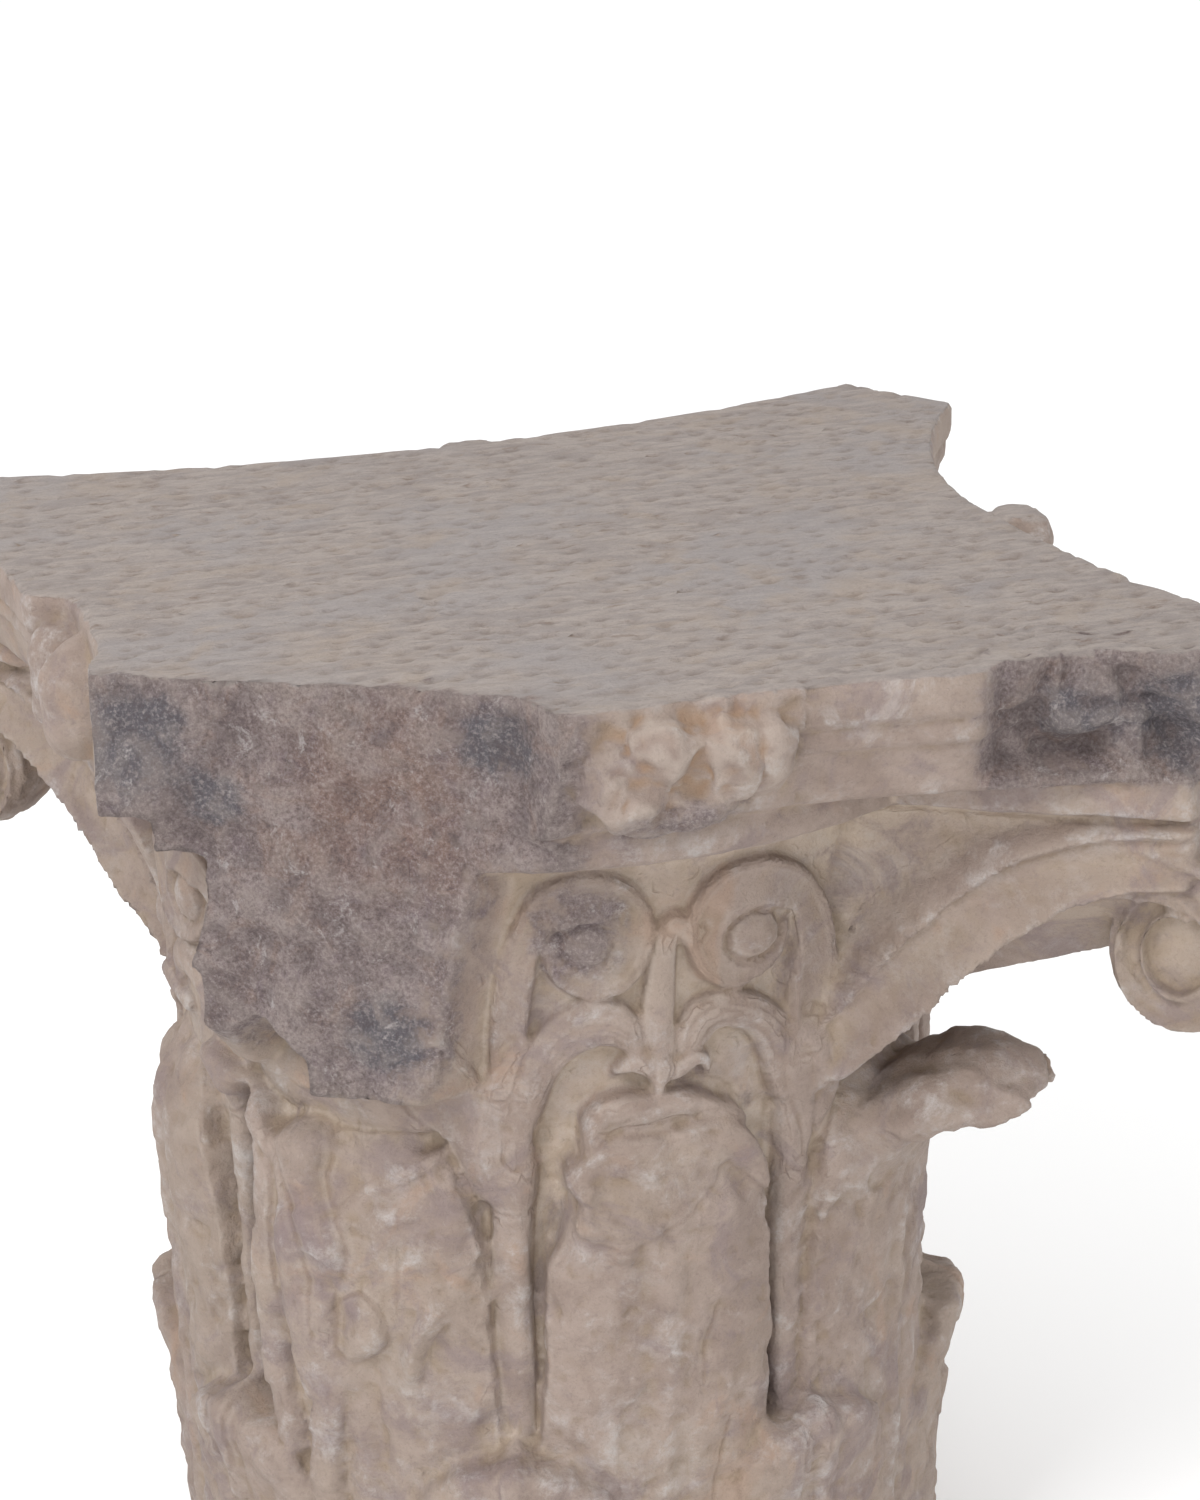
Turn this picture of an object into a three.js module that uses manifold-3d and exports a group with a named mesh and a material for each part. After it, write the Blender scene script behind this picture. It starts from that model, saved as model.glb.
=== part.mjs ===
// Weathered Corinthian column capital, carved from one block of marble.
// Millimetres, +Z up, origin at the middle of the flat bottom bed.
// The front face looks along -Y. An azimuth is 0 at the front and grows towards +X.
import * as THREE from 'three';
import { mergeVertices } from 'three/addons/utils/BufferGeometryUtils.js';
import Module from 'manifold-3d';

const wasm = await Module();
wasm.setup();

// Heights above the bottom bed
const HEIGHT = 635;
const ABACUS_THICK = 68;
const LIP_THICK = 20;
const HELIX_HEIGHT = 487;
const CALYX_HEIGHT = 372;
const STEM_FOOT = 180;

// The bell and the leaves start below the bed and are cut flat with it
const BELOW_BED = -14;

// Abacus plan: four hollow sides between cut corners
const MID_SIDE = 270;
const SIDE_HALF = 273;
const CORNER_REACH = 312;
const LEFT_CHIP = 22;
const SIDE_STEPS = 6;

// The back-right corner reaches further: [reach, half chord] on the right and on the back side
const LONG_END_RIGHT = [358, 252];
const LONG_END_BACK = [333, 316];

// Radii from the axis
const BELL_FOOT = 172;
const BELL_WAIST = 182;
const BELL_LIP = 250;
const LEAF_FACE = 222;
const FACE_RADIUS = 215;
const SCROLL_RADIUS = 378;

// Scrolls
const HELIX_OFFSET = 47;
const HELIX_SIZE = 33;
const VOLUTE_HEIGHT = 457;
const VOLUTE_SIZE = 62;
const VOLUTE_HALF_GAP = 15;

// Break at the front-left corner: the way it faces, its distance from the axis and its lean
const BREAK_AZIMUTH = -38.7;
const BREAK_DISTANCE = 253;
const BREAK_SLOPE = 0.125;
const BREAK_FOOT = 408;

// Leaves
const LEAF_HALF = 66;
const LEAF_FLUTE = 4;
const LEAF_LOBE = 0.07;

// Azimuths in degrees: the large leaves and the stems between them
const UPPER_LEAVES = 8;
const STEP = 360 / UPPER_LEAVES;
const BROKEN_CORNER = 315;
const BROKEN_LEAVES = [0, 90, 225, 270, BROKEN_CORNER];
const SPRING = 392;

const SMALLEST_DETAIL = 2.5;
const STONE_COLOUR = 0xc9b8a4;

function rad(degrees) {
  return THREE.MathUtils.degToRad(degrees);
}

// A place given by azimuth, distance from the axis and height
function polar(azimuth, radius, height) {
  return new THREE.Vector3(radius * Math.sin(rad(azimuth)), -radius * Math.cos(rad(azimuth)), height);
}

// A place on a face: distance sideways from the face's middle, radius and height
function onFace(face, side, radius, height) {
  return polar(face + THREE.MathUtils.radToDeg(side / FACE_RADIUS), radius, height);
}

// Moves every vertex of a geometry by a function of its own place
function warp(geometry, place) {
  const position = geometry.attributes.position;
  const point = new THREE.Vector3();
  for (let i = 0; i < position.count; i += 1) {
    point.fromBufferAttribute(position, i);
    const moved = place(point);
    position.setXYZ(i, moved.x, moved.y, moved.z);
  }
  return geometry;
}

// Six times the signed volume, negative where a mesh is inside out
function signedVolume(vertices, triangles) {
  const corner = (i) => new THREE.Vector3().fromArray(vertices, 3 * triangles[i]);
  let sum = 0;
  for (let i = 0; i < triangles.length; i += 3) {
    sum += corner(i).dot(corner(i + 1).cross(corner(i + 2)));
  }
  return sum;
}

// A closed geometry as a solid that can be joined and cut
function solid(geometry) {
  geometry.deleteAttribute('normal');
  geometry.deleteAttribute('uv');
  const merged = mergeVertices(geometry, 0.001);
  const vertProperties = new Float32Array(merged.attributes.position.array);
  const triVerts = new Uint32Array(merged.index.array);
  if (signedVolume(vertProperties, triVerts) < 0) {
    for (let i = 0; i < triVerts.length; i += 3) {
      const swap = triVerts[i];
      triVerts[i] = triVerts[i + 1];
      triVerts[i + 1] = swap;
    }
  }
  return new wasm.Manifold(new wasm.Mesh({ numProp: 3, vertProperties, triVerts }));
}

// A stack of rings from bottom to top: ring(turn, level) gives a vertex, turn and level running 0 to 1
function stack(sides, levels, ring) {
  const column = new THREE.CylinderGeometry(1, 1, 1, sides, levels);
  return solid(warp(column, (p) => {
    const onAxis = Math.hypot(p.x, p.z) < 0.5;
    const turn = onAxis ? null : ((Math.atan2(p.x, p.z) / (2 * Math.PI) + 1.0001) % 1) - 0.0001;
    return ring(turn, p.y + 0.5);
  }));
}

// A band with a closed section swept along a curve. Its section points are [across, out], and
// outward(point) is the way that its face looks.
function sweep(curve, steps, section, size, outward) {
  return stack(section.length, steps, (turn, level) => {
    const place = curve.getPoint(level);
    const along = curve.getTangent(level);
    const out = outward(place);
    out.addScaledVector(along, -out.dot(along)).normalize();
    const across = new THREE.Vector3().crossVectors(along, out);
    if (turn === null) {
      return place;
    }
    const [a, o] = section[Math.round(turn * section.length) % section.length];
    const [wide, thick] = size(level);
    return place.addScaledVector(across, a * wide).addScaledVector(out, o * thick);
  });
}

// Straight out from the axis
function radial(point) {
  return new THREE.Vector3(point.x, point.y, 0).normalize();
}

const CHANNELLED = [[-1, -1], [-1, 1], [0, 0.45], [1, 1], [1, -1]];
const ROUNDED = [[-1, -1], [-0.6, 1], [0.6, 1], [1, -1]];

function spline(points) {
  return new THREE.CatmullRomCurve3(points);
}

// Abacus: two mouldings and a fillet on a plan with hollow sides. Side 0 is the front, 1 the right.
function endOfSide(side, t) {
  if (side === 1 && t > 0) {
    return LONG_END_RIGHT;
  }
  return side === 2 && t < 0 ? LONG_END_BACK : [CORNER_REACH, SIDE_HALF];
}

function abacusOutline(turn, inset) {
  const points = 4 * (SIDE_STEPS + 1);
  const index = Math.round(turn * points) % points;
  const side = Math.floor(index / (SIDE_STEPS + 1));
  const t = 2 * (index % (SIDE_STEPS + 1)) / SIDE_STEPS - 1;
  const [reach, half] = endOfSide(side, t);
  const chip = side === 3 && t > -0.1 && t < 0.6 ? LEFT_CHIP : 0;
  const out = MID_SIDE + (reach - MID_SIDE) * t * t - inset - chip;
  const along = t * (half - inset * 0.4);
  const angle = rad(90 * side);
  return [
    along * Math.cos(angle) + out * Math.sin(angle),
    along * Math.sin(angle) - out * Math.cos(angle),
  ];
}

const UNDERSIDE = HEIGHT - ABACUS_THICK;
const ABACUS_LEVELS = [
  [UNDERSIDE, 20],
  [UNDERSIDE + 12, 16],
  [UNDERSIDE + 29, 8],
  [UNDERSIDE + 36, 10],
  [UNDERSIDE + 37, 2],
  [HEIGHT, 0],
];

function abacus() {
  const top = ABACUS_LEVELS.length - 1;
  return stack(4 * (SIDE_STEPS + 1), top, (turn, level) => {
    const [height, inset] = ABACUS_LEVELS[Math.round(level * top)];
    const [x, y] = turn === null ? [0, 0] : abacusOutline(turn, inset);
    return new THREE.Vector3(x, y, height);
  });
}

// Bell: a round core that swells under a lip
function bell() {
  const lipFoot = UNDERSIDE - LIP_THICK;
  const profile = [
    [0, BELOW_BED],
    [BELL_FOOT, BELOW_BED],
    [BELL_WAIST, 330],
    [BELL_WAIST + 10, 420],
    [BELL_WAIST + 28, 500],
    [BELL_LIP - 10, lipFoot],
    [BELL_LIP, lipFoot + 3],
    [BELL_LIP, UNDERSIDE + 4],
    [0, UNDERSIDE + 4],
  ].map(([radius, height]) => new THREE.Vector2(radius, height));
  return solid(new THREE.LatheGeometry(profile, 32).rotateX(Math.PI / 2));
}

// One acanthus leaf. spine holds [radius, height] points from foot to tip, and widths and depths
// run along it. The face has a rib at each second column and a lobe at each second row.
function leaf(azimuth, spine, widths, depths, columns, rows) {
  const path = new THREE.SplineCurve(spine.map(([r, z]) => new THREE.Vector2(r, z)));
  const curve = (list) => new THREE.SplineCurve(list.map((value, i) => new THREE.Vector2(i, value)));
  const width = curve(widths);
  const depth = curve(depths);
  const sectionPoints = columns + 3;
  return stack(sectionPoints, rows, (turn, v) => {
    const index = turn === null ? -1 : Math.round(turn * sectionPoints) % sectionPoints;
    const onFront = index >= 0 && index <= columns;
    const u = onFront ? 2 * index / columns - 1 : 0;
    const across = onFront ? u : Math.sign(columns + 1.5 - index);
    const middle = turn === null;
    const lobe = 1 + LEAF_LOBE * (Math.round(v * rows) % 2 === 0 ? -1 : 1);
    const rib = (index % 2 === 0 ? -1 : 1) * LEAF_FLUTE * (1 - 0.5 * v);
    const back = -depth.getPoint(v).y;
    const lift = onFront ? rib - 16 * Math.abs(u) ** 3 : back * (middle ? 0.5 : 1);
    const place = path.getPoint(v);
    const way = path.getTangent(v);
    const radius = place.x + way.y * lift;
    const height = place.y - way.x * lift;
    const side = (middle ? 0 : across) * width.getPoint(v).y * lobe;
    return polar(azimuth + THREE.MathUtils.radToDeg(side / Math.max(place.x, BELL_FOOT)), radius, height);
  });
}

// Upper row: whole leaves bend out at the tip, and the broken ones end at the bend
const WHOLE_UPPER = [
  [LEAF_FACE - 8, BELOW_BED], [LEAF_FACE - 2, 130], [LEAF_FACE, 250], [LEAF_FACE + 5, 305],
  [LEAF_FACE + 22, 338], [LEAF_FACE + 50, 354], [LEAF_FACE + 72, 360], [LEAF_FACE + 79, 372],
];
const BROKEN_UPPER = [
  [LEAF_FACE - 8, BELOW_BED], [LEAF_FACE - 2, 130], [LEAF_FACE, 250], [LEAF_FACE + 2, 320],
  [LEAF_FACE - 4, 372], [LEAF_FACE - 16, 396],
];
const UPPER_WIDTHS = [62, LEAF_HALF, LEAF_HALF + 2, 60, 50, 34];
const BROKEN_WIDTHS = [62, LEAF_HALF, LEAF_HALF, 62, 52, 40];
const UPPER_DEPTHS = [70, 70, 62, 56, 46, 22];
const BROKEN_DEPTHS = [70, 70, 62, 46, 30, 24];
const LOWER_SPINE = [
  [LEAF_FACE - 6, BELOW_BED], [LEAF_FACE + 1, 65], [LEAF_FACE + 3, 120],
  [LEAF_FACE + 5, 150], [LEAF_FACE + 10, 166], [LEAF_FACE + 13, 170],
];
const LOWER_WIDTHS = [72, 76, 70, 54, 30];
const LOWER_DEPTHS = [70, 70, 52, 34, 22];

function upperLeaves() {
  const leaves = [];
  for (let i = 0; i < UPPER_LEAVES; i += 1) {
    const azimuth = i * STEP;
    const broken = BROKEN_LEAVES.includes(azimuth);
    leaves.push(broken
      ? leaf(azimuth, BROKEN_UPPER, BROKEN_WIDTHS, BROKEN_DEPTHS, 8, 6)
      : leaf(azimuth, WHOLE_UPPER, UPPER_WIDTHS, UPPER_DEPTHS, 8, 9));
  }
  return leaves;
}

function lowerLeaves() {
  const leaves = [];
  for (let i = 0; i < UPPER_LEAVES; i += 1) {
    leaves.push(leaf((i + 0.5) * STEP, LOWER_SPINE, LOWER_WIDTHS, LOWER_DEPTHS, 6, 5));
  }
  return leaves;
}

// Stem between two upper leaves, with the helix and the husk that spring from it.
// hand is -1 for the stem left of the face's middle and +1 for the right one.
function stem(face, hand) {
  const foot = hand * 80;
  const at = (side, radius, height) => onFace(face, hand * side, radius, height);
  const trunk = sweep(
    spline([onFace(face, foot, 196, STEM_FOOT), onFace(face, foot + hand * 2, 196, CALYX_HEIGHT)]),
    1, ROUNDED, (t) => [10 + 4 * t, 12 + 3 * t], radial);
  const husk = sweep(
    spline([
      at(82, 200, 352), at(80, 206, 392), at(66, 211, 432),
      at(44, 214, 448), at(22, 216, 440), at(9, 214, 423),
    ]),
    6, ROUNDED, (t) => [13 - 5 * t, 13], radial);
  return [trunk, husk];
}

// Scroll that rises from a stem and curls towards the face's middle. The hidden faces have it plainer.
function helix(face, hand) {
  const plain = face !== 0;
  const at = (side, radius, height) => onFace(face, hand * side, radius, height);
  const route = [at(85, 204, CALYX_HEIGHT + 26), at(87, 210, HELIX_HEIGHT - 20)];
  const turns = plain ? 0.5 : 1.3;
  const points = plain ? 3 : 11;
  for (let i = 1; i <= points; i += 1) {
    const t = i / points;
    const angle = 0.35 + t * turns * 2 * Math.PI;
    const size = HELIX_SIZE * (1 - (plain ? 0.1 : 0.62) * t);
    const side = HELIX_OFFSET + size * Math.cos(angle);
    route.push(at(side, 218, HELIX_HEIGHT + size * Math.sin(angle)));
  }
  const band = sweep(spline(route), plain ? 7 : 16, ROUNDED, (t) => [9 - 4 * t, 15], radial);
  const levels = [[plain ? HELIX_SIZE : 12, 190], [plain ? HELIX_SIZE - 3 : 10, 226]];
  const boss = stack(plain ? 8 : 6, 1, (turn, level) => {
    const [size, out] = levels[Math.round(level)];
    const angle = turn === null ? 0 : turn * 2 * Math.PI;
    const reach = turn === null ? 0 : size;
    return at(HELIX_OFFSET + reach * Math.cos(angle), out, HELIX_HEIGHT + reach * Math.sin(angle));
  });
  return [band, boss];
}

// Corner volute: one band from each neighbouring stem, which run out under the corner and curl down
function volute(corner) {
  const parts = [];
  const plain = corner !== 45;
  const sideways = new THREE.Vector3(Math.cos(rad(corner)), Math.sin(rad(corner)), 0);
  for (const hand of [-1, 1]) {
    const route = [
      polar(corner - hand * 21, 204, SPRING),
      polar(corner - hand * 17.5, 220, SPRING + 48),
      polar(corner - hand * 10, 268, SPRING + 98),
    ];
    const points = plain ? 5 : 12;
    const turns = plain ? 0.6 : 1.25;
    for (let i = 0; i <= points; i += 1) {
      const t = i / points;
      const angle = Math.PI * 0.62 - t * turns * 2 * Math.PI;
      const size = VOLUTE_SIZE * (1 - (plain ? 0.3 : 0.62) * t) - 8;
      const radius = SCROLL_RADIUS + 0.75 * size * Math.cos(angle);
      const place = polar(corner, radius, VOLUTE_HEIGHT + 6 + size * Math.sin(angle));
      route.push(place.addScaledVector(sideways, -hand * VOLUTE_HALF_GAP));
    }
    const facing = () => sideways.clone().multiplyScalar(-hand);
    parts.push(sweep(spline(route), plain ? 9 : 16, CHANNELLED, (t) => [17 - 8 * t, 15], facing));
  }
  const levels = [[8, -32], [38, -20], [38, 20], [8, 32]];
  parts.push(stack(8, 3, (turn, level) => {
    const [size, across] = levels[Math.round(level * 3)];
    const angle = turn === null ? 0 : turn * 2 * Math.PI;
    const reach = turn === null ? 0 : size;
    const radius = SCROLL_RADIUS + 0.85 * reach * Math.cos(angle);
    return polar(corner, radius, VOLUTE_HEIGHT + reach * Math.sin(angle)).addScaledVector(sideways, across);
  }));
  return parts;
}

// Stone left under the abacus corner: a wide web that the bands border, and a thin one below it
function cornerWeb(corner) {
  const upper = [
    [200, SPRING + 20], [228, SPRING + 40], [268, SPRING + 95], [322, SPRING + 128],
    [392, SPRING + 138], [392, UNDERSIDE + 3], [200, UNDERSIDE + 3],
  ];
  const lower = [
    [200, SPRING - 10], [240, SPRING + 12], [275, SPRING + 38],
    [325, SPRING + 48], [372, SPRING + 48], [372, SPRING + 138], [200, SPRING + 138],
  ];
  const sideways = new THREE.Vector3(Math.cos(rad(corner)), Math.sin(rad(corner)), 0);
  const plate = (outline, innerHalf, outerHalf) => {
    const shape = new THREE.Shape(outline.map(([r, z]) => new THREE.Vector2(r, z)));
    const slab = new THREE.ExtrudeGeometry(shape, { depth: 2, bevelEnabled: false });
    return solid(warp(slab, (p) => {
      const half = THREE.MathUtils.mapLinear(p.x, 200, 392, innerHalf, outerHalf);
      return polar(corner, p.x, p.y).addScaledVector(sideways, (p.z - 1) * half);
    }));
  };
  return [plate(upper, 74, 24), plate(lower, 40, 12)];
}

// Fleuron at the middle of a side of the abacus, with its stem up the bell
function fleuron(face) {
  const ball = new THREE.SphereGeometry(1, 8, 5);
  const flower = solid(warp(ball, (p) => {
    const lobes = 1 + 0.14 * Math.cos(5 * Math.atan2(p.z, p.x));
    const side = 47 * p.x * lobes;
    const out = MID_SIDE - 4 + 24 * p.y;
    return onFace(face, 0, out, UNDERSIDE + 33 + 32 * p.z * lobes)
      .addScaledVector(new THREE.Vector3(Math.cos(rad(face)), Math.sin(rad(face)), 0), side);
  }));
  const stalk = sweep(
    spline([onFace(face, 0, 202, 424), onFace(face, 0, 236, 545)]),
    1, ROUNDED, () => [9, 12], radial);
  return [flower, stalk];
}

// Rolled edge left above the front leaf, whose tip is lost, and the leaflet at the fleuron's foot
function frontLeafHead() {
  const arch = [[-46, 208, 386], [-34, 210, 403], [0, 212, 409], [34, 210, 403], [46, 208, 386]];
  const leaflet = [[-24, 206, 419], [0, 212, 429], [24, 206, 419]];
  return [arch, leaflet].map((route) => sweep(
    spline(route.map(([side, radius, height]) => onFace(0, side, radius, height))),
    4, ROUNDED, () => [8, 12], radial));
}

// The broken front-left corner: everything beyond a rough, nearly upright plane is lost
function lostCorner() {
  const normal = rad(BREAK_AZIMUTH);
  const slab = new THREE.BoxGeometry(2, 1, 1, 9, 6, 1);
  return solid(warp(slab, (p) => {
    const along = p.x * 300;
    const foot = BREAK_FOOT + 0.08 * along;
    const height = THREE.MathUtils.mapLinear(p.y, -0.5, 0.5, foot, HEIGHT + 20);
    const rough = 4 * Math.sin(along * 0.031 + height * 0.017) + 3 * Math.sin(height * 0.052 - along * 0.019);
    const inner = BREAK_DISTANCE - (HEIGHT - height) * BREAK_SLOPE + rough;
    const depth = p.z < 0 ? inner : 520;
    return new THREE.Vector3(
      depth * Math.sin(normal) + along * Math.cos(normal),
      -depth * Math.cos(normal) + along * Math.sin(normal),
      height);
  }));
}

function joinAll(parts) {
  return parts.reduce((whole, part) => whole.add(part));
}

// The outer skin alone: pockets closed in behind the carving are solid stone
function outerSkin(shape) {
  return shape.decompose().reduce((best, piece) => (piece.volume() > best.volume() ? piece : best));
}

function capitalSolid() {
  const parts = [bell(), abacus(), ...upperLeaves(), ...lowerLeaves()];
  for (const face of [0, 90, 180, 270]) {
    for (const hand of [-1, 1]) {
      parts.push(...stem(face, hand), ...helix(face, hand));
    }
    parts.push(...fleuron(face));
  }
  for (const corner of [45, 135, 225, BROKEN_CORNER]) {
    parts.push(...cornerWeb(corner));
    if (corner !== BROKEN_CORNER) {
      parts.push(...volute(corner));
    }
  }
  parts.push(...frontLeafHead());
  const carved = joinAll(parts).subtract(lostCorner()).simplify(SMALLEST_DETAIL);
  return outerSkin(carved.trimByPlane([0, 0, 1], 0));
}

function geometryOf(shape) {
  const mesh = shape.getMesh();
  const geometry = new THREE.BufferGeometry();
  geometry.setAttribute('position', new THREE.BufferAttribute(new Float32Array(mesh.vertProperties), 3));
  geometry.setIndex(new THREE.BufferAttribute(new Uint32Array(mesh.triVerts), 1));
  geometry.computeVertexNormals();
  return geometry;
}

const stone = new THREE.MeshStandardMaterial({ color: STONE_COLOUR, roughness: 0.85, metalness: 0 });
const capital = new THREE.Mesh(geometryOf(capitalSolid()), stone);
capital.name = 'capital';

const group = new THREE.Group();
group.add(capital);

export default group;
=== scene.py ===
import math

import bmesh
import bpy
import numpy as np
from mathutils import Matrix, Vector


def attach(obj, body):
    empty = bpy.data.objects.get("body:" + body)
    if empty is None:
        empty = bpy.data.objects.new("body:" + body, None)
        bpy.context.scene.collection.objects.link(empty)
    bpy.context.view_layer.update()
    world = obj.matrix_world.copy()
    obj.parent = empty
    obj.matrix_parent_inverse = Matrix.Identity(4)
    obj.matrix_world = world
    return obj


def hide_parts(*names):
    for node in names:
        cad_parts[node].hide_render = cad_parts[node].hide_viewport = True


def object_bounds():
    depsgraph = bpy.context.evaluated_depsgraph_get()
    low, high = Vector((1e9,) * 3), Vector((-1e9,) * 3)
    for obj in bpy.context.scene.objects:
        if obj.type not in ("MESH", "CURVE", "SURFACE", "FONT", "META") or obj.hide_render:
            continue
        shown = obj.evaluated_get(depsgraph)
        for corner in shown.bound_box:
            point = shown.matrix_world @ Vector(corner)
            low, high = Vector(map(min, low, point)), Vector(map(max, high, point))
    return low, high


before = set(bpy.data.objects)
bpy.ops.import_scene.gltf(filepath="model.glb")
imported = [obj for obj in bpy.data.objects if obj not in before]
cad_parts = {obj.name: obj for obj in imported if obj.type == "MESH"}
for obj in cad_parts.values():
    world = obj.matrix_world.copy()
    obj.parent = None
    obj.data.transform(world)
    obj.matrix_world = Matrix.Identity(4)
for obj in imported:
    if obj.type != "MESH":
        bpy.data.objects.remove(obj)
cad_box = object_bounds()


# Bell
# The capital is one block of marble. Its core is a bell that swells under a lip, and the leaves,
# stems and scrolls are cut in relief on it, so the core carries their radius at every place.
MM = 0.001
HEIGHT = 635.0
FACE_RADIUS = 215.0
AROUND = 860
ROWS = 290
CORE_TOP = 571.0
FAR = 9.0
BELL_PROFILE = [(0, 176), (200, 190), (300, 197), (380, 203), (420, 207), (470, 210), (505, 213), (530, 217),
                (540, 222), (543, 240), (547, 248), (556, 250), (571, 249)]


def mesh_of(bm, name):
    mesh = bpy.data.meshes.new(name)
    bm.to_mesh(mesh)
    bm.free()
    return mesh


def points_of(mesh, unit=MM):
    co = np.empty(len(mesh.vertices) * 3, np.float32)
    mesh.vertices.foreach_get("co", co)
    return co.reshape(-1, 3).astype(float) / unit


def set_points(mesh, co):
    """Moves a mesh's points to places in millimetres."""
    mesh.vertices.foreach_set("co", (co * MM).astype(np.float32).ravel())
    mesh.update()


def place(azimuth, radius, height):
    """Points from azimuth in degrees (0 at the front, growing towards +X), radius and height."""
    turn = np.radians(azimuth)
    return np.stack(np.broadcast_arrays(radius * np.sin(turn), -radius * np.cos(turn), height), -1)


def soft_step(value, low, high):
    t = np.clip((value - low) / (high - low), 0, 1)
    return t * t * (3 - 2 * t)


def soft_max(a, b, blend):
    return np.maximum(a, b) + np.maximum(blend - np.abs(a - b), 0) ** 2 / (4 * blend)


def lattice_noise(points, size, seed):
    """Smooth noise from -1 to 1 on points in millimetres, with features of the given size."""
    table = np.random.default_rng(seed).uniform(-1, 1, (32, 32, 32)).astype(np.float32)
    cell = np.asarray(points, np.float32) / size + 1000.0
    base = np.floor(cell).astype(int)
    f = cell - base
    f = f * f * (3 - 2 * f)
    total = np.zeros(len(f), np.float32)
    for corner in range(8):
        step = np.array([corner & 1, corner >> 1 & 1, corner >> 2 & 1])
        weight = np.prod(np.where(step, f, 1 - f), axis=1)
        i = (base + step) % 32
        total += weight * table[i[:, 0], i[:, 1], i[:, 2]]
    return total


def smooth_route(route, step=5.0):
    """Close points on a soft curve through a route's rows, whose first two values are its place."""
    rows = np.array(route, float)
    padded = np.vstack([2 * rows[0] - rows[1], rows, 2 * rows[-1] - rows[-2]])
    pieces = []
    for p0, p1, p2, p3 in zip(padded[:-3], padded[1:-2], padded[2:-1], padded[3:]):
        count = max(2, int(np.linalg.norm((p2 - p1)[:2]) / step))
        t = np.linspace(0, 1, count, endpoint=False)[:, None]
        pieces.append(0.5 * (2 * p1 + (p2 - p0) * t + (2 * p0 - 5 * p1 + 4 * p2 - p3) * t ** 2
                             + (3 * p1 - p0 - 3 * p2 + p3) * t ** 3))
    return np.vstack(pieces + [rows[-1:]])


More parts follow.
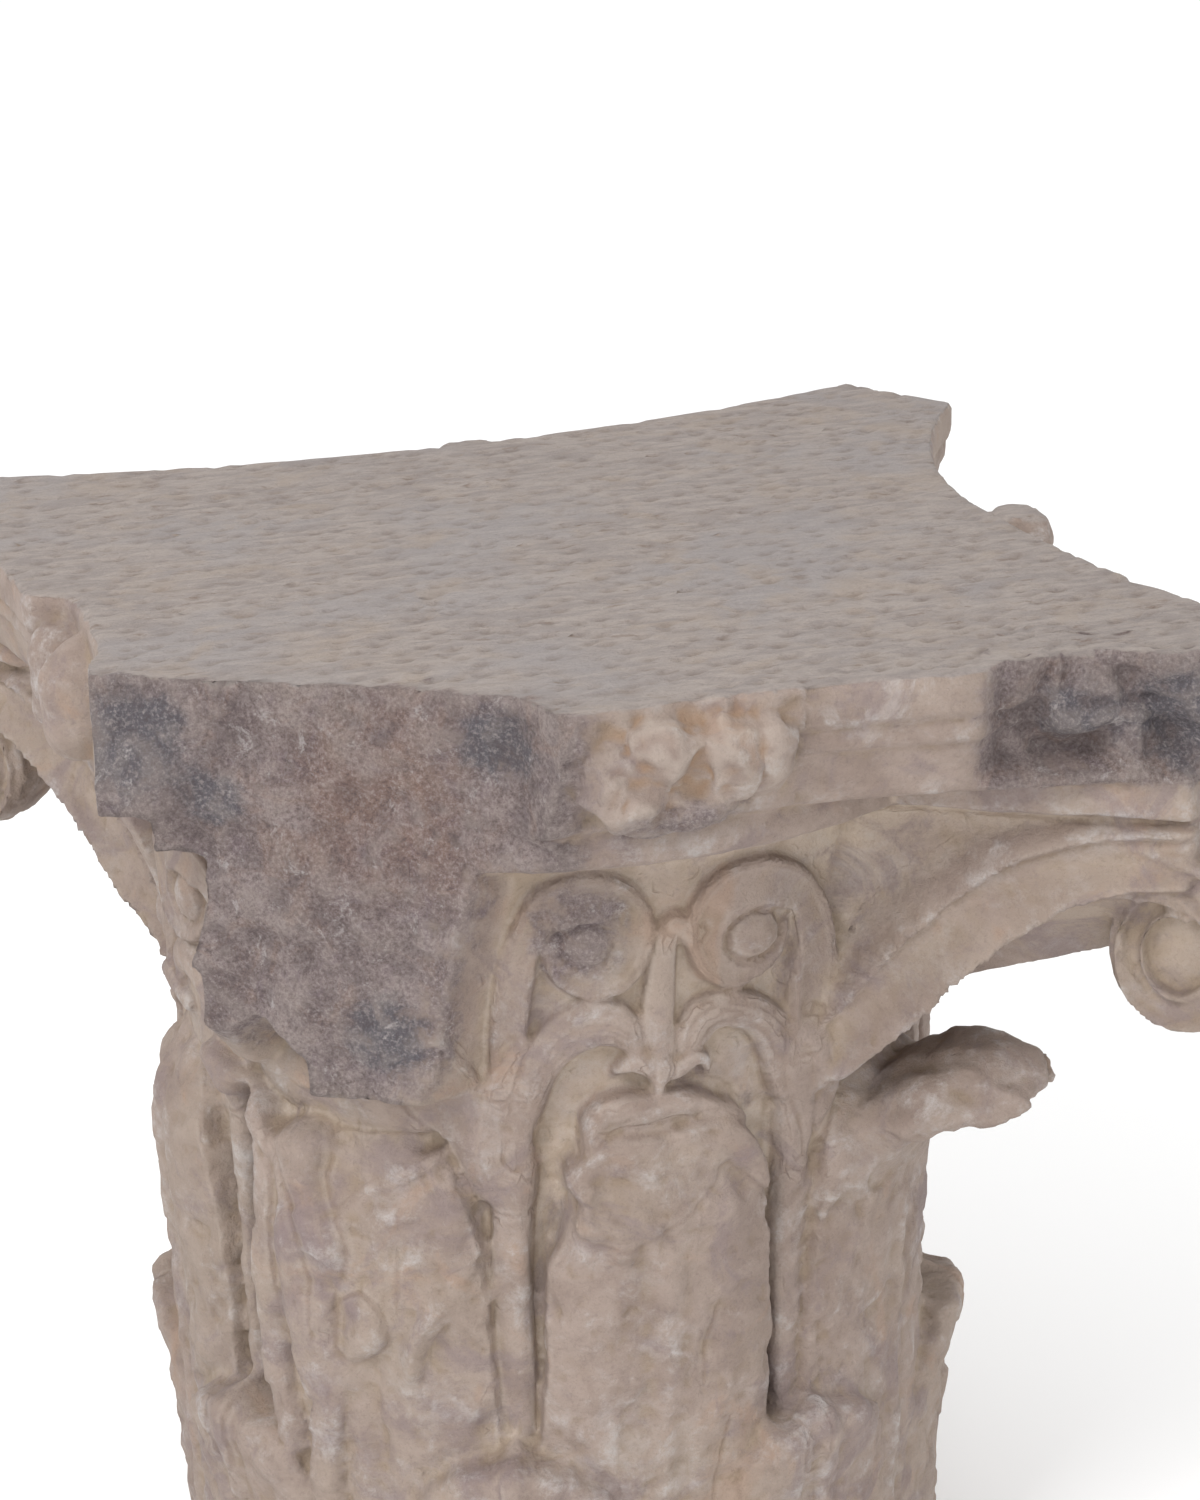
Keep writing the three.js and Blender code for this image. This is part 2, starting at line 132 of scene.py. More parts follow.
class Carving:
    """The radius of the carved block over a grid of azimuths and heights, all in millimetres."""

    def __init__(self, azimuth, height):
        self.azimuth = azimuth
        self.height = height
        self.radius = np.interp(height, *zip(*BELL_PROFILE))
        self.crease = np.full(height.shape, FAR)
        self.crease_strength = np.zeros(height.shape)

    def mark_crease(self, where, distance, strength, covered=None):
        """Signed distance from a carved line, for the finish to draw it finer than the mesh, as a groove in
        its bump with painted shade along it and a painted highlight beside it.
        """
        crease, kept = self.crease[where], self.crease_strength[where]
        if covered is not None:
            kept = np.where(covered, 0, kept)
            crease = np.where(covered, FAR, crease)
        closer = np.abs(distance) < np.abs(crease)
        self.crease[where] = np.where(closer, distance, crease)
        strength = strength * (1 - soft_step(np.abs(distance), 4, 7))
        self.crease_strength[where] = np.where(closer, strength, kept)

    def add(self, where, form, inside, edge_distance, strength, blend):
        """Joins a form to the block, with a carved line at its edge, which the finish draws with painted
        shade.
        """
        self.mark_crease(where, edge_distance, strength, (form > self.radius[where]) & inside)
        self.radius[where] = soft_max(self.radius[where], form, blend)

    def side(self, middle):
        """Distance round the block from an azimuth, as measured on a face."""
        return FACE_RADIUS * np.radians((self.azimuth - middle + 180) % 360 - 180)

    def near(self, middle, route):
        """Where a route passes, how far each place is from it, and the route's values there."""
        path = smooth_route(route)
        side = self.side(middle)
        reach = path[:, 3].max() + 14
        where = ((side > path[:, 0].min() - reach) & (side < path[:, 0].max() + reach)
                 & (self.height > path[:, 1].min() - reach) & (self.height < path[:, 1].max() + reach))
        s, z = side[where], self.height[where]
        best = np.full(s.shape, 1e9)
        values = np.zeros((s.size, path.shape[1] - 2))
        hand = np.ones(s.shape)
        for a, b in zip(path[:-1], path[1:]):
            way = b[:2] - a[:2]
            t = np.clip(((s - a[0]) * way[0] + (z - a[1]) * way[1]) / max(way @ way, 1e-6), 0, 1)
            off_s, off_z = s - a[0] - t * way[0], z - a[1] - t * way[1]
            distance = np.hypot(off_s, off_z)
            closer = distance < best
            best[closer] = distance[closer]
            hand[closer] = np.sign(way[0] * off_z - way[1] * off_s)[closer]
            values[closer] = a[2:] + t[closer, None] * (b[2:] - a[2:])
        return where, best, values, hand

    def ridge(self, middle, route, crest, blend, lines=()):
        """Rounded band along rows of (side, height, radius, half width), with incised lines of (place
        across the band, depth)."""
        where, distance, values, hand = self.near(middle, route)
        radius, half = values[:, 0], values[:, 1]
        x = distance / half
        form = radius - crest * (1 - np.sqrt(np.clip(1 - x * x, 0, 1))) - 7 * np.maximum(distance - half, 0)
        for place_across, depth in lines:
            form -= depth * np.exp(-((hand * x - place_across) / 0.13) ** 2)
        self.add(where, form, distance < half, half + 0.8 - distance, 0.6 if blend < 2 else 0, blend)
        for place_across, depth in lines:
            self.mark_crease(where, (hand * x - place_across) * half, 0.35)

    def band(self, middle, route):
        """Flat band along rows of (side, height, radius, half width), dished between two thin rims."""
        where, distance, values, _ = self.near(middle, route)
        radius, half = values[:, 0], values[:, 1]
        rim_place = np.clip(1 - 2.2 / half, 0.1, 0.95)
        x = distance / half
        form = radius + 1.3 * np.exp(-((x - rim_place) * half / 1.7) ** 2) - 1.6 * np.exp(-(x / 0.62) ** 4)
        form -= 9 * np.maximum(distance - half, 0)
        self.add(where, form, distance < half, half + 0.8 - distance, 0.7, 0.8)
        self.mark_crease(where, half - 3.4 - distance, 0.25 * (half > 6))

    def sheet(self, middle, outline, edge, fall, blend=1.5):
        """A raised patch with a rounded edge inside an outline of (side, height, radius)."""
        ring = [(*row, 1) for row in [*outline, outline[0]]]
        where, distance, values, _ = self.near(middle, ring)
        s, z = self.side(middle)[where], self.height[where]
        inside = np.zeros(s.shape, bool)
        path = smooth_route(ring)
        for a, b in zip(path[:-1], path[1:]):
            if a[1] != b[1]:
                inside ^= ((a[1] > z) != (b[1] > z)) & (s < a[0] + (z - a[1]) / (b[1] - a[1]) * (b[0] - a[0]))
        depth = np.where(inside, fall * (1 - np.clip(distance / edge, 0, 1)) ** 2, fall + 8 * distance)
        edge_distance = np.where(inside, distance, -distance) + 0.8
        self.add(where, values[:, 0] - depth, inside, edge_distance, 0.5 if edge > 5 else 0.25, blend)

    def groove(self, middle, route):
        """Furrow along rows of (side, height, depth, half width); a negative depth makes a raised line."""
        where, distance, values, hand = self.near(middle, route)
        self.mark_crease(where, hand * distance, 0.35 * (values[:, 1] < 4) * (values[:, 1] != 2))
        self.radius[where] -= values[:, 0] * np.exp(-(distance / values[:, 1]) ** 2)


def grid_column(sides, levels, put):
    """Closed column of quads. put(turn, level) gives its points, with turn and level from 0 to 1."""
    bm = bmesh.new()
    bmesh.ops.create_cone(bm, cap_ends=True, segments=sides, radius1=1, radius2=1, depth=1)
    upright = [e for e in bm.edges if abs(e.verts[0].co.z - e.verts[1].co.z) > 0.5]
    bmesh.ops.subdivide_edges(bm, edges=upright, cuts=levels - 1)
    mesh = mesh_of(bm, "form")
    co = points_of(mesh, 1)
    turn = np.round(np.arctan2(co[:, 1], co[:, 0]) / (2 * math.pi) * sides) % sides / sides
    level = np.round((co[:, 2] + 0.5) * levels) / levels
    set_points(mesh, put(turn, level))
    return mesh


carving = None


def core_points(turn, level):
    global carving
    carving = Carving(turn * 360 - 180, level * CORE_TOP)
    return np.zeros((len(turn), 3))


core = grid_column(AROUND, ROWS, core_points)
carving.mark_crease(slice(None), carving.height - 541.5, 0.5)


# Acanthus leaves
# Two rows of eight stand round the bell, cut free at their edges by deep channels. A rib runs up
# each, and its veins run out to small lobes. Most tips have broken off.
UPPER_FACE = [(0, 213), (130, 219), (250, 222), (300, 224), (322, 226), (345, 226), (372, 219), (396, 206)]
UPPER_HALF = [(0, 62), (130, 66), (250, 67), (310, 63), (345, 56), (372, 44), (390, 24), (396, 4)]
LOWER_FACE = [(0, 215), (65, 222), (120, 225), (160, 229), (185, 236), (200, 238), (208, 232)]
LOWER_HALF = [(0, 72), (65, 76), (120, 73), (160, 62), (185, 48), (200, 30), (208, 4)]
VEIN_GAP = 27.0


def carve_leaf(middle, face, half_width, veins, left=None, right=None):
    """A leaf on the core. left and right are outlines that stand for the usual edge."""
    side, z = carving.side(middle), carving.height
    where = (np.abs(side) < 100) & (z < face[-1][0] + 12)
    s, z = side[where], z[where]
    half = np.interp(z, *zip(*half_width))
    low = -half if left is None else np.interp(z, *zip(*left))
    high = half if right is None else np.interp(z, *zip(*right))
    centre, half = (low + high) / 2, (high - low) / 2
    off = s - centre
    along = (z - 0.9 * np.abs(off)) / VEIN_GAP
    lobe = np.abs(along - np.floor(along) - 0.5) * 2
    half = half + 3.0 * veins * (0.5 - lobe)
    u = np.clip(np.abs(off) / np.maximum(half, 1), 0, 1.5)
    form = np.interp(z, *zip(*face)) - 9 * np.clip(u, 0, 1) ** 3
    form += veins * 2.0 * (0.5 - lobe) * soft_step(u, 0.15, 0.5)
    form += 2.2 * np.exp(-(off / 6) ** 2) - 2.6 * veins * np.exp(-((np.abs(off) - 10) / 4.5) ** 2)
    form -= 11.0 * np.maximum(np.abs(off) - half, 0)
    form -= 3.0 * np.maximum(z - face[-1][0], 0)
    carving.add(where, form, u < 1, half - np.abs(off), 0.35 * (z > 210), 2.0)


FRONT_LEAF_LEFT = [(0, -70), (199, -72), (212, -70), (238, -68), (256, -65), (282, -66), (315, -64),
                   (333, -55), (350, -51), (367, -45), (385, -32), (392, -14)]
FRONT_LEAF_RIGHT = [(0, 62), (210, 60), (240, 62), (275, 62), (305, 61), (341, 57), (368, 53), (379, 45),
                    (390, 23), (396, 6)]
CORNER_LEAF_RIGHT = [(0, 80), (212, 79), (246, 76), (281, 74), (320, 72), (338, 69), (358, 62), (378, 49),
                     (390, 30), (396, 14)]

carve_leaf(0, UPPER_FACE, UPPER_HALF, 0.35, FRONT_LEAF_LEFT, FRONT_LEAF_RIGHT)
carve_leaf(-45, UPPER_FACE, UPPER_HALF, 0.5, [(0, -70), (340, -74), (396, -60)], CORNER_LEAF_RIGHT)
RIGHT_LEAF_LEFT = [(0, -86), (203, -85), (253, -81), (304, -75), (352, -69), (372, -56), (396, -10)]
RIGHT_LEAF_RIGHT = [(0, 62), (130, 66), (250, 67), (310, 63), (345, 56), (372, 44), (396, 4)]
carve_leaf(45, UPPER_FACE, UPPER_HALF, 0.5, RIGHT_LEAF_LEFT, RIGHT_LEAF_RIGHT)
for middle in (90, 135, 180, 225, 270):
    carve_leaf(middle, UPPER_FACE, UPPER_HALF, 0.8)
for index in range(8):
    carve_leaf(22.5 + 45 * index, LOWER_FACE, LOWER_HALF, 0.9)


# Stems, husks and small leaves between the leaves
# From each stem grow a husk, which bends over the middle leaf, and two scrolls. The front ones
# are as they survive, and those on the other faces are cut more plainly.
FRONT_LEFT_STEM = [(-80, 185, 209, 8), (-81, 203, 210, 8.5), (-82, 229, 210, 9.2), (-82, 255, 211, 10),
                   (-83, 306, 211, 11), (-82, 332, 211, 11.6), (-81, 352, 211, 12.2), (-78, 372, 212, 12)]
FRONT_RIGHT_STEM = [(75, 180, 210, 6), (75.4, 203, 211, 6.6), (76.5, 227, 211, 8), (77.6, 253, 211, 8.8),
                    (78.5, 279, 212, 10), (81, 304, 212, 12.4), (84, 329, 212, 12.4), (85, 352, 212, 12)]
LEFT_CALYX = [(-139, 411, 219), (-125, 393, 216), (-114, 380, 215), (-105, 360, 213), (-95, 346, 212),
              (-70, 346, 212), (-67, 383, 213), (-71, 392, 213), (-84, 400, 215), (-92, 413, 217),
              (-104, 426, 222), (-124, 432, 226), (-140, 428, 224)]
LEFT_CALYX_TIP = [(-98, 404, 216), (-96, 413, 216), (-86, 427, 217), (-76, 440, 219), (-68, 444, 219),
                  (-65, 439, 218), (-68, 426, 217), (-74, 409, 216), (-80, 394, 215)]
RIGHT_CALYX = [(73, 431, 217), (88, 430, 219), (100, 424, 220), (113, 406, 219), (117, 384, 217),
               (110, 368, 215), (101, 354, 213), (90, 342, 212), (76, 349, 212), (72, 372, 214),
               (70, 392, 216)]
INNER_HUSK = [(-239, 408, 214), (-228, 396, 215), (-204, 388, 217), (-176, 384, 218), (-143, 386, 219),
              (-122, 388, 219), (-128, 406, 221), (-142, 421, 222), (-160, 430, 222), (-200, 428, 220),
              (-232, 420, 216)]
FRONT_LEFT_HUSK = [(-77, 376, 214, 7), (-73.7, 391, 215, 7.4), (-70, 407, 216, 8.2), (-64.7, 424, 217, 9.4),
                   (-57, 437, 218, 11), (-47, 446, 219, 12.8), (-36, 450, 219, 12.6), (-26, 448, 219, 11.8),
                   (-18.5, 442, 218, 9.6), (-14.5, 435, 217, 6), (-12.5, 427, 216, 2)]
FRONT_RIGHT_HUSK = [(80, 396, 216, 14), (75, 409, 217, 14), (69, 421, 217, 12), (60.5, 434, 218, 10.8),
                    (48, 443, 219, 10.4), (33.5, 447, 219, 10.2), (23, 445, 219, 10.8),
                    (17.5, 437, 218, 10.2), (14.8, 429, 217, 7), (14.4, 423, 216, 3)]
PLAIN_STEM = [(80, 170, 209, 8), (81, 255, 210, 10), (82, 330, 211, 12), (84, 372, 212, 14),
              (84, 410, 213, 15)]
PLAIN_HUSK = [(80, 385, 213, 13), (70, 420, 214, 12), (58, 438, 215, 11), (38, 446, 216, 11),
              (22, 440, 215, 9), (15, 425, 213, 4)]
PEARL_SIZE = 6
LEFT_EYE = (-38, 493)
RIGHT_EYE = (52, 485)
LEFT_COIL = [(-82, 398, 212, 9), (-81, 420, 214, 9), (-79, 445, 217, 9), (-77, 461, 218, 9),
             (-73.5, 480, 218, 9), (-68, 495, 218, 9.6), (-60.6, 507, 218, 11.7), (-53, 515.5, 221, 12.6),
             (-42, 519.5, 222, 13.4), (-30, 518, 222, 13.4), (-20, 510, 218, 12.4), (-15.5, 499, 218, 11.1),
             (-17, 486.5, 218, 9.6), (-22, 477.5, 218, 9.6), (-32, 472.5, 218, 8.4), (-43, 473.7, 217, 7.2),
             (-51.5, 479, 217, 5.6), (-55.6, 487, 217, 4), (-55.6, 494, 216, 2.5)]
RIGHT_COIL = [(91, 405, 214, 13), (90.3, 432, 217, 14.4), (90.7, 450, 218, 14.8), (90, 469, 219, 15),
              (85.4, 488.7, 219, 14), (73, 504.7, 221, 13.8), (57.3, 512.6, 222, 14.4),
              (42.2, 513.7, 222, 14.6), (31.5, 508.6, 221, 13.8), (25.4, 498.7, 219, 12.6),
              (25, 486, 219, 10.8), (29.7, 474.7, 219, 9.8), (40.4, 466.7, 218, 8), (53.4, 465.8, 218, 5.4),
              (64.5, 470, 217, 3.4), (71, 478, 217, 2.2), (73, 487, 216, 1.5)]


def carve_eye(middle, eye, wide, high):
    """The eye of a scroll, a low dome in a sunk ring with the given outer half sizes."""
    x = (carving.side(middle) - eye[0]) / wide
    z = (carving.height - eye[1]) / high
    away = np.hypot(x, z)
    where = away < 1.05
    dome = 220 - 3 * (away[where] / 0.8) ** 2
    ring = 214.5 + 12 * np.clip(away[where] - 0.93, 0, 1)
    carving.radius[where] = np.where(away[where] < 0.8, dome, np.minimum(carving.radius[where], ring))
    carving.mark_crease(where, (0.86 - away[where]) * min(wide, high), 0.6, away[where] < 0.75)


def carve_pearl(side, height):
    """A low round boss on the broken leaf head."""
    distance = np.hypot(carving.side(0) - side, carving.height - height)
    where = distance < PEARL_SIZE + 10
    x = distance[where] / PEARL_SIZE
    form = 230 - 3 * np.clip(x, 0, 1) ** 2 - 3.5 * np.maximum(distance[where] - PEARL_SIZE, 0)
    carving.radius[where] = soft_max(carving.radius[where], form, 2.0)


carving.sheet(0, INNER_HUSK, edge=20, fall=8, blend=4)
carving.ridge(0, FRONT_LEFT_STEM, crest=6, blend=1)
carving.ridge(0, FRONT_RIGHT_STEM, crest=6, blend=1)
for t in np.arange(196, 345, 11.5):
    carving.groove(0, [(66 + t * 0.04, t - 7, 2.0, 2.0), (88 + t * 0.04, t + 8, 2.0, 2.0)])
carving.band(0, LEFT_COIL)
carving.band(0, RIGHT_COIL)
carve_eye(0, LEFT_EYE, 14, 14)
carve_eye(0, RIGHT_EYE, 19, 15)
carving.sheet(0, LEFT_CALYX, edge=9, fall=5)
carving.sheet(0, LEFT_CALYX_TIP, edge=4, fall=2.5, blend=0.8)
carving.ridge(0, FRONT_LEFT_HUSK, crest=5, blend=0.8, lines=((-0.45, 1.6), (0.1, 0.9)))
carving.ridge(0, FRONT_RIGHT_HUSK, crest=5, blend=0.8, lines=((-0.45, 1.4), (0.45, 1.4)))
carving.sheet(0, RIGHT_CALYX, edge=12, fall=5)
carving.groove(0, [(72, 398, 2.2, 1.8), (77, 384, 2.2, 1.8), (84, 370, 2, 1.8), (88, 352, 1.5, 1.8)])
carving.groove(0, [(92, 436, 2.2, 1.8), (104, 428, 2.4, 2), (114, 414, 2, 2)])
for crest, route in (
        (4, [(-1, 424, 217, 7.8), (-1.9, 440, 218, 8.2), (-1.9, 454, 218, 8.4), (-0.7, 471, 218, 7.6),
             (1.1, 486, 218, 6.2), (3.4, 496, 219, 6), (6, 502, 219, 4.8)]),
        (3, [(6, 500, 219, 4.5), (12, 497, 219, 4), (13.5, 490, 218, 2.8)]),
        (3, [(-2, 420, 219, 6), (-9, 424, 219, 5.6), (-17, 425.5, 218, 4.3), (-24.5, 421.5, 216, 2)]),
        (3, [(-2, 420, 219, 6), (8, 419.5, 219, 5.2), (16.5, 424, 219, 4), (23.5, 421.5, 218, 3.4),
             (24.5, 415.5, 216, 2)]),
        (2, [(-1, 424, 220, 4), (-3, 414, 220, 3), (-4, 406, 219, 2)]),
        (4, [(-38.5, 382, 221, 6.4), (-37, 389, 221, 7.4), (-35, 396.5, 221, 8), (-24, 401, 221, 8.3),
             (-10, 401, 221, 7.4), (6, 401.5, 220, 6.8), (19, 398, 220, 5.8), (31, 392, 219, 4.8),
             (39, 385, 218, 2.5)])):
    carving.ridge(0, route, crest=crest, blend=0.8)
carving.groove(0, [(11, 411, 1.6, 1.6), (24, 409, 1.8, 1.6), (38, 403, 1.6, 1.6), (48, 392, 1.2, 1.6)])

for face in (90, 180, 270):
    for hand in (-1, 1):
        stem, husk, coil = [[(hand * s, *rest) for s, *rest in route]
                            for route in (PLAIN_STEM, PLAIN_HUSK, RIGHT_COIL)]
        carving.ridge(face, stem, crest=6, blend=1)
        carving.band(face, coil)
        carve_eye(face, (hand * RIGHT_EYE[0], RIGHT_EYE[1]), 18, 15)
        carving.ridge(face, husk, crest=5, blend=0.8)
    carving.ridge(face, [(0, 424, 215, 8), (0, 470, 217, 7), (0, 548, 244, 6)], crest=5, blend=1)
    carving.ridge(face, [(-26, 414, 213, 5), (0, 424, 217, 7), (26, 414, 213, 5)], crest=4, blend=1)


# Stone left under the abacus corners
# A web joins each corner to the bell. A channelled band runs up its side between two ridges, and
# below them its soffit leans in to an arch.
UPPER_RIDGE = [(205, 405), (214, 424), (235, 455), (250, 476), (270, 498), (299, 523), (323, 531),
               (342, 536), (400, 541)]
LOWER_RIDGE = [(225, 393), (245, 419), (270, 451), (295, 478), (324, 499), (353, 509), (400, 513)]
ARCH = [(385, 200), (392, 225), (413, 246), (428, 263), (441, 281), (449, 320), (452, 386)]
WEB_SIDE = 126.1
WEB_TAPER = 0.2604
FLANK_HEIGHTS = [424, 532]
FLANK_ENDS = [-31.2, -23.7]


def carve_web(corner, lift=0, fuller=0):
    side = carving.side(corner)
    where = (np.abs(side) < 0.5 * FACE_RADIUS) & (carving.height > 380)
    side, z = side[where], carving.height[where]
    turn = np.abs(side) / FACE_RADIUS
    slope = np.sin(turn) + WEB_TAPER
    flat = WEB_SIDE / slope
    top, low = np.interp(flat, *zip(*UPPER_RIDGE)), np.interp(flat, *zip(*LOWER_RIDGE))
    v = (z - low) / np.maximum(top - low, 12)
    offset = 4.5 * np.exp(-((v - 1) / 0.07) ** 2) + 5 * np.exp(-(v / 0.1) ** 2)
    offset = offset - 2.5 * np.exp(-((v - 0.85) / 0.05) ** 2) - 2.5 * np.exp(-((v - 0.45) / 0.28) ** 2)
    recess = np.interp(flat, [225, 300], [13, 8])
    offset += fuller * soft_step(z, 541, 546) * (side < 0)
    offset -= recess * soft_step(v, 1.03, 1.12)
    offset += (recess + 4) * soft_step(z, 544, 548)
    offset -= 0.75 * np.maximum(low - 2 - z, 0)
    form = np.minimum((WEB_SIDE + offset) / slope, 386)
    form = np.minimum(form, np.interp(z - lift, *zip(*ARCH)))
    form[z - lift < ARCH[0][0]] = 0
    on_top = (form > carving.radius[where]) & (z < 538)
    carving.add(where, form, z < 538, 0.8 * (top + 4 - z), 0.5, 2.0)
    carving.mark_crease(where, 0.8 * (top - 6 - z), 0.3 * on_top)
    carving.mark_crease(where, 0.8 * (z - low + 3), 0.4 * on_top)


for corner in (45, 135, 225):
    carve_web(corner)
carve_web(315, 24, 10)
turn = np.degrees(carving.side(0) / FACE_RADIUS)
flank_end = np.interp(carving.height, FLANK_HEIGHTS, FLANK_ENDS)
broken_flank = 238 - 4.5 * (turn - flank_end) - 400 * (carving.height < 414)
broken_flank[(turn <= -46) | (turn >= flank_end + 12)] = 0
carving.radius = soft_max(carving.radius, broken_flank, 4)


# Front-left corner, as it survives
# Below the break the corner leaf is worn into ridges, creases and lumps.
WORN_RIDGES = [
    [(-261, 405, 226, 7), (-234, 390, 229, 9), (-217, 369, 231, 9), (-215, 333, 232, 9), (-218, 297, 232, 9),
     (-216, 233, 230, 9), (-208, 197, 228, 9)],
    [(-194, 322, 226, 6), (-184, 290, 231, 8), (-180, 268, 231, 8), (-179, 248, 226, 6)],
    [(-94, 299, 214, 5), (-118, 290, 225, 6), (-131, 275, 227, 6), (-134, 258, 226, 6), (-138, 244, 222, 5)],
    [(-175, 343, 226, 5), (-156, 355, 226, 5), (-139, 367, 224, 5), (-119, 374, 216, 5)],
]
WORN_GROOVES = [
    [(-234, 392, 20, 6), (-239, 372, 26, 6.5), (-243, 318, 30, 6.5), (-243, 282, 30, 6.5),
     (-240, 241, 28, 6.5), (-237, 208, 22, 6)],
    [(-223, 370, 3, 4), (-193, 344, 4, 4), (-179, 335, 4, 4), (-170, 305, 3, 4)],
]
for route in WORN_RIDGES:
    carving.ridge(0, route, crest=6, blend=5)
for route in WORN_GROOVES:
    carving.groove(0, route)
FOLD = [(-212, 375, 229), (-202, 384, 230), (-183, 387, 230), (-176, 376, 231), (-178, 359, 232),
        (-173, 345, 232), (-168, 332, 232), (-166, 317, 232), (-172, 303, 231), (-175, 289, 231),
        (-174, 269, 230), (-173, 249, 229), (-184, 227, 228), (-193, 224, 228), (-201, 240, 229),
        (-205, 259, 230), (-208, 285, 231), (-209, 313, 232), (-208, 338, 232), (-210, 358, 231)]
KNOB = [(-172, 290, 230), (-161, 296, 231), (-152, 291, 232), (-148, 280, 233), (-147, 271, 233),
        (-158, 260, 232), (-170, 255, 230), (-174, 269, 230)]
carving.sheet(0, [(s, z, r + 3) for s, z, r in FOLD], edge=11, fall=9)
carving.sheet(0, KNOB, edge=10, fall=6)
carving.ridge(0, [(-174, 252, 229, 7), (-181, 230, 230, 8), (-185, 210, 230, 9), (-188, 182, 229, 9),
                  (-187, 165, 228, 8)], crest=5, blend=2)
for route in (
        [(-171, 342, 2.4, 2.2), (-160, 356, 2.4, 2.2), (-145, 366, 2, 2.2), (-131, 373, 1.6, 2),
         (-117, 379, 1, 2)],
        [(-205, 372, 2.4, 3), (-196, 350, 3, 3), (-190, 325, 3, 3), (-186, 300, 2.6, 3), (-186, 270, 2, 3)],
        [(-94, 304, -1.8, 2.4), (-107, 301, -2.2, 2.6), (-116, 297, -2.4, 3), (-126, 286, -2.4, 3),
         (-131, 272, -2.6, 3), (-134, 251, -1.6, 3)],
        [(-139, 322, 1.6, 1.8), (-141, 294, 1.6, 1.8)],
        [(-104, 298, 2, 7), (-118, 285, 2.4, 8), (-124, 262, 2, 8)]):
    carving.groove(0, route)
# The head of the middle leaf has broken off along a ragged edge.
HEAD = [(-32, 386, 223), (-22, 388, 224), (-2, 387, 225), (10, 390, 225), (24, 390, 225), (39, 384, 225),
        (49, 372, 225), (55, 358, 225), (54, 344, 225), (30, 368, 224), (23, 357, 225), (11, 345, 226),
        (-1, 338, 227), (-10, 332, 227), (-26, 329, 227), (-43, 335, 226), (-45, 353, 225), (-53, 368, 223)]
carving.sheet(0, [(-42, 378, 216), (-38, 396, 216), (0, 404, 217), (34, 396, 216), (46, 380, 216),
                  (0, 372, 218)], edge=4, fall=2)
carving.sheet(0, HEAD, edge=5, fall=2.2, blend=0.8)
for pearl in ((-42, 361), (-43, 343), (-26, 339), (-10, 339), (-17, 345), (-24, 326)):
    carve_pearl(*pearl)
for route in ([(25, 285, 1.8, 3), (18, 263, 2.2, 3), (17, 243, 1.4, 3)], [(31, 213, 2, 3), (23, 183, 2, 3),
              (21, 165, 2, 3)], [(-17, 325, 2, 4), (-16, 308, 2.4, 4), (-19, 292, 2, 4)],
              [(-30, 185, 2, 3), (-26, 165, 2, 3), (-25, 150, 2, 3)], [(-42, 190, 2, 3), (-38, 165, 2, 3)]):
    carving.groove(0, route)

core_radius = carving.radius
order = np.lexsort((np.round(carving.azimuth, 4), np.round(carving.height, 3)))
on_grid = (order.size // AROUND, AROUND)
crease_grid = carving.crease[order].reshape(on_grid)
strength_grid = carving.crease_strength[order].reshape(on_grid)
set_points(core, place(carving.azimuth, core_radius, carving.height))
forms = [core]


# Leaf tips
# Three leaves of the upper row keep their tips, which lean out and curl down at the end.
TIP_UNDER = [(200, 262), (222, 303), (232, 328), (247, 345), (268, 358), (289, 368), (299, 376)]
TIP_TOP = [(175, 330), (200, 368), (226, 384), (244, 393), (262, 397), (284, 393), (300, 381)]
TIP_HALF = [52, 57, 55, 50, 44, 36, 22]


def leaf_tip(middle):
    count = 28
    levels = 26
    under, top = smooth_route(TIP_UNDER, 1), smooth_route(TIP_TOP, 1)

    def put(turn, level):
        index = np.round(turn * count)
        angle = 2 * math.pi * index / count
        across, up = np.cos(angle), np.sin(angle)
        across = np.sign(across) * np.abs(across) ** 0.7
        low, high = [np.stack([np.interp(level * (len(line) - 1), np.arange(len(line)), line[:, i])
                               for i in (0, 1)], -1) for line in (under, top)]
        half = np.interp(level * 6, np.arange(7), TIP_HALF)
        fold = 1 + 0.07 * np.sin(level * 22) * np.abs(across)
        rz = low + (high - low) * (0.5 + 0.5 * up)[:, None]
        crease = 2.0 * np.cos(across * 16) * soft_step(level, 0.25, 0.6)
        rz[:, 1] += crease * (0.3 + up) - 10 * np.abs(across) ** 2.5 * soft_step(level, 0.2, 0.8)
        rz[:, 0] += 3 * np.cos(across * 16 + 1) * soft_step(level, 0.7, 0.95)
        side = across * half * fold
        return place(middle + np.degrees(side / np.maximum(rz[:, 0], 100)), rz[:, 0], rz[:, 1])

    return grid_column(count, levels, put)


forms += [leaf_tip(middle) for middle in (45, 135, 180)]


# Volutes
# From the outer scrolls of each corner a pair of channelled bands runs out under the abacus and
# curls down round a shared disc. The front-left pair is lost.
SCROLL_RADIUS = 378.0
VOLUTE_HEIGHT = 473.0
BAND_SECTION = [(-1, -1), (-1, 0.7), (-0.86, 1), (-0.66, 0.75), (-0.4, 0.2), (0, 0.05), (0.4, 0.2),
                (0.66, 0.75), (0.86, 1), (1, 0.7), (1, -1)]


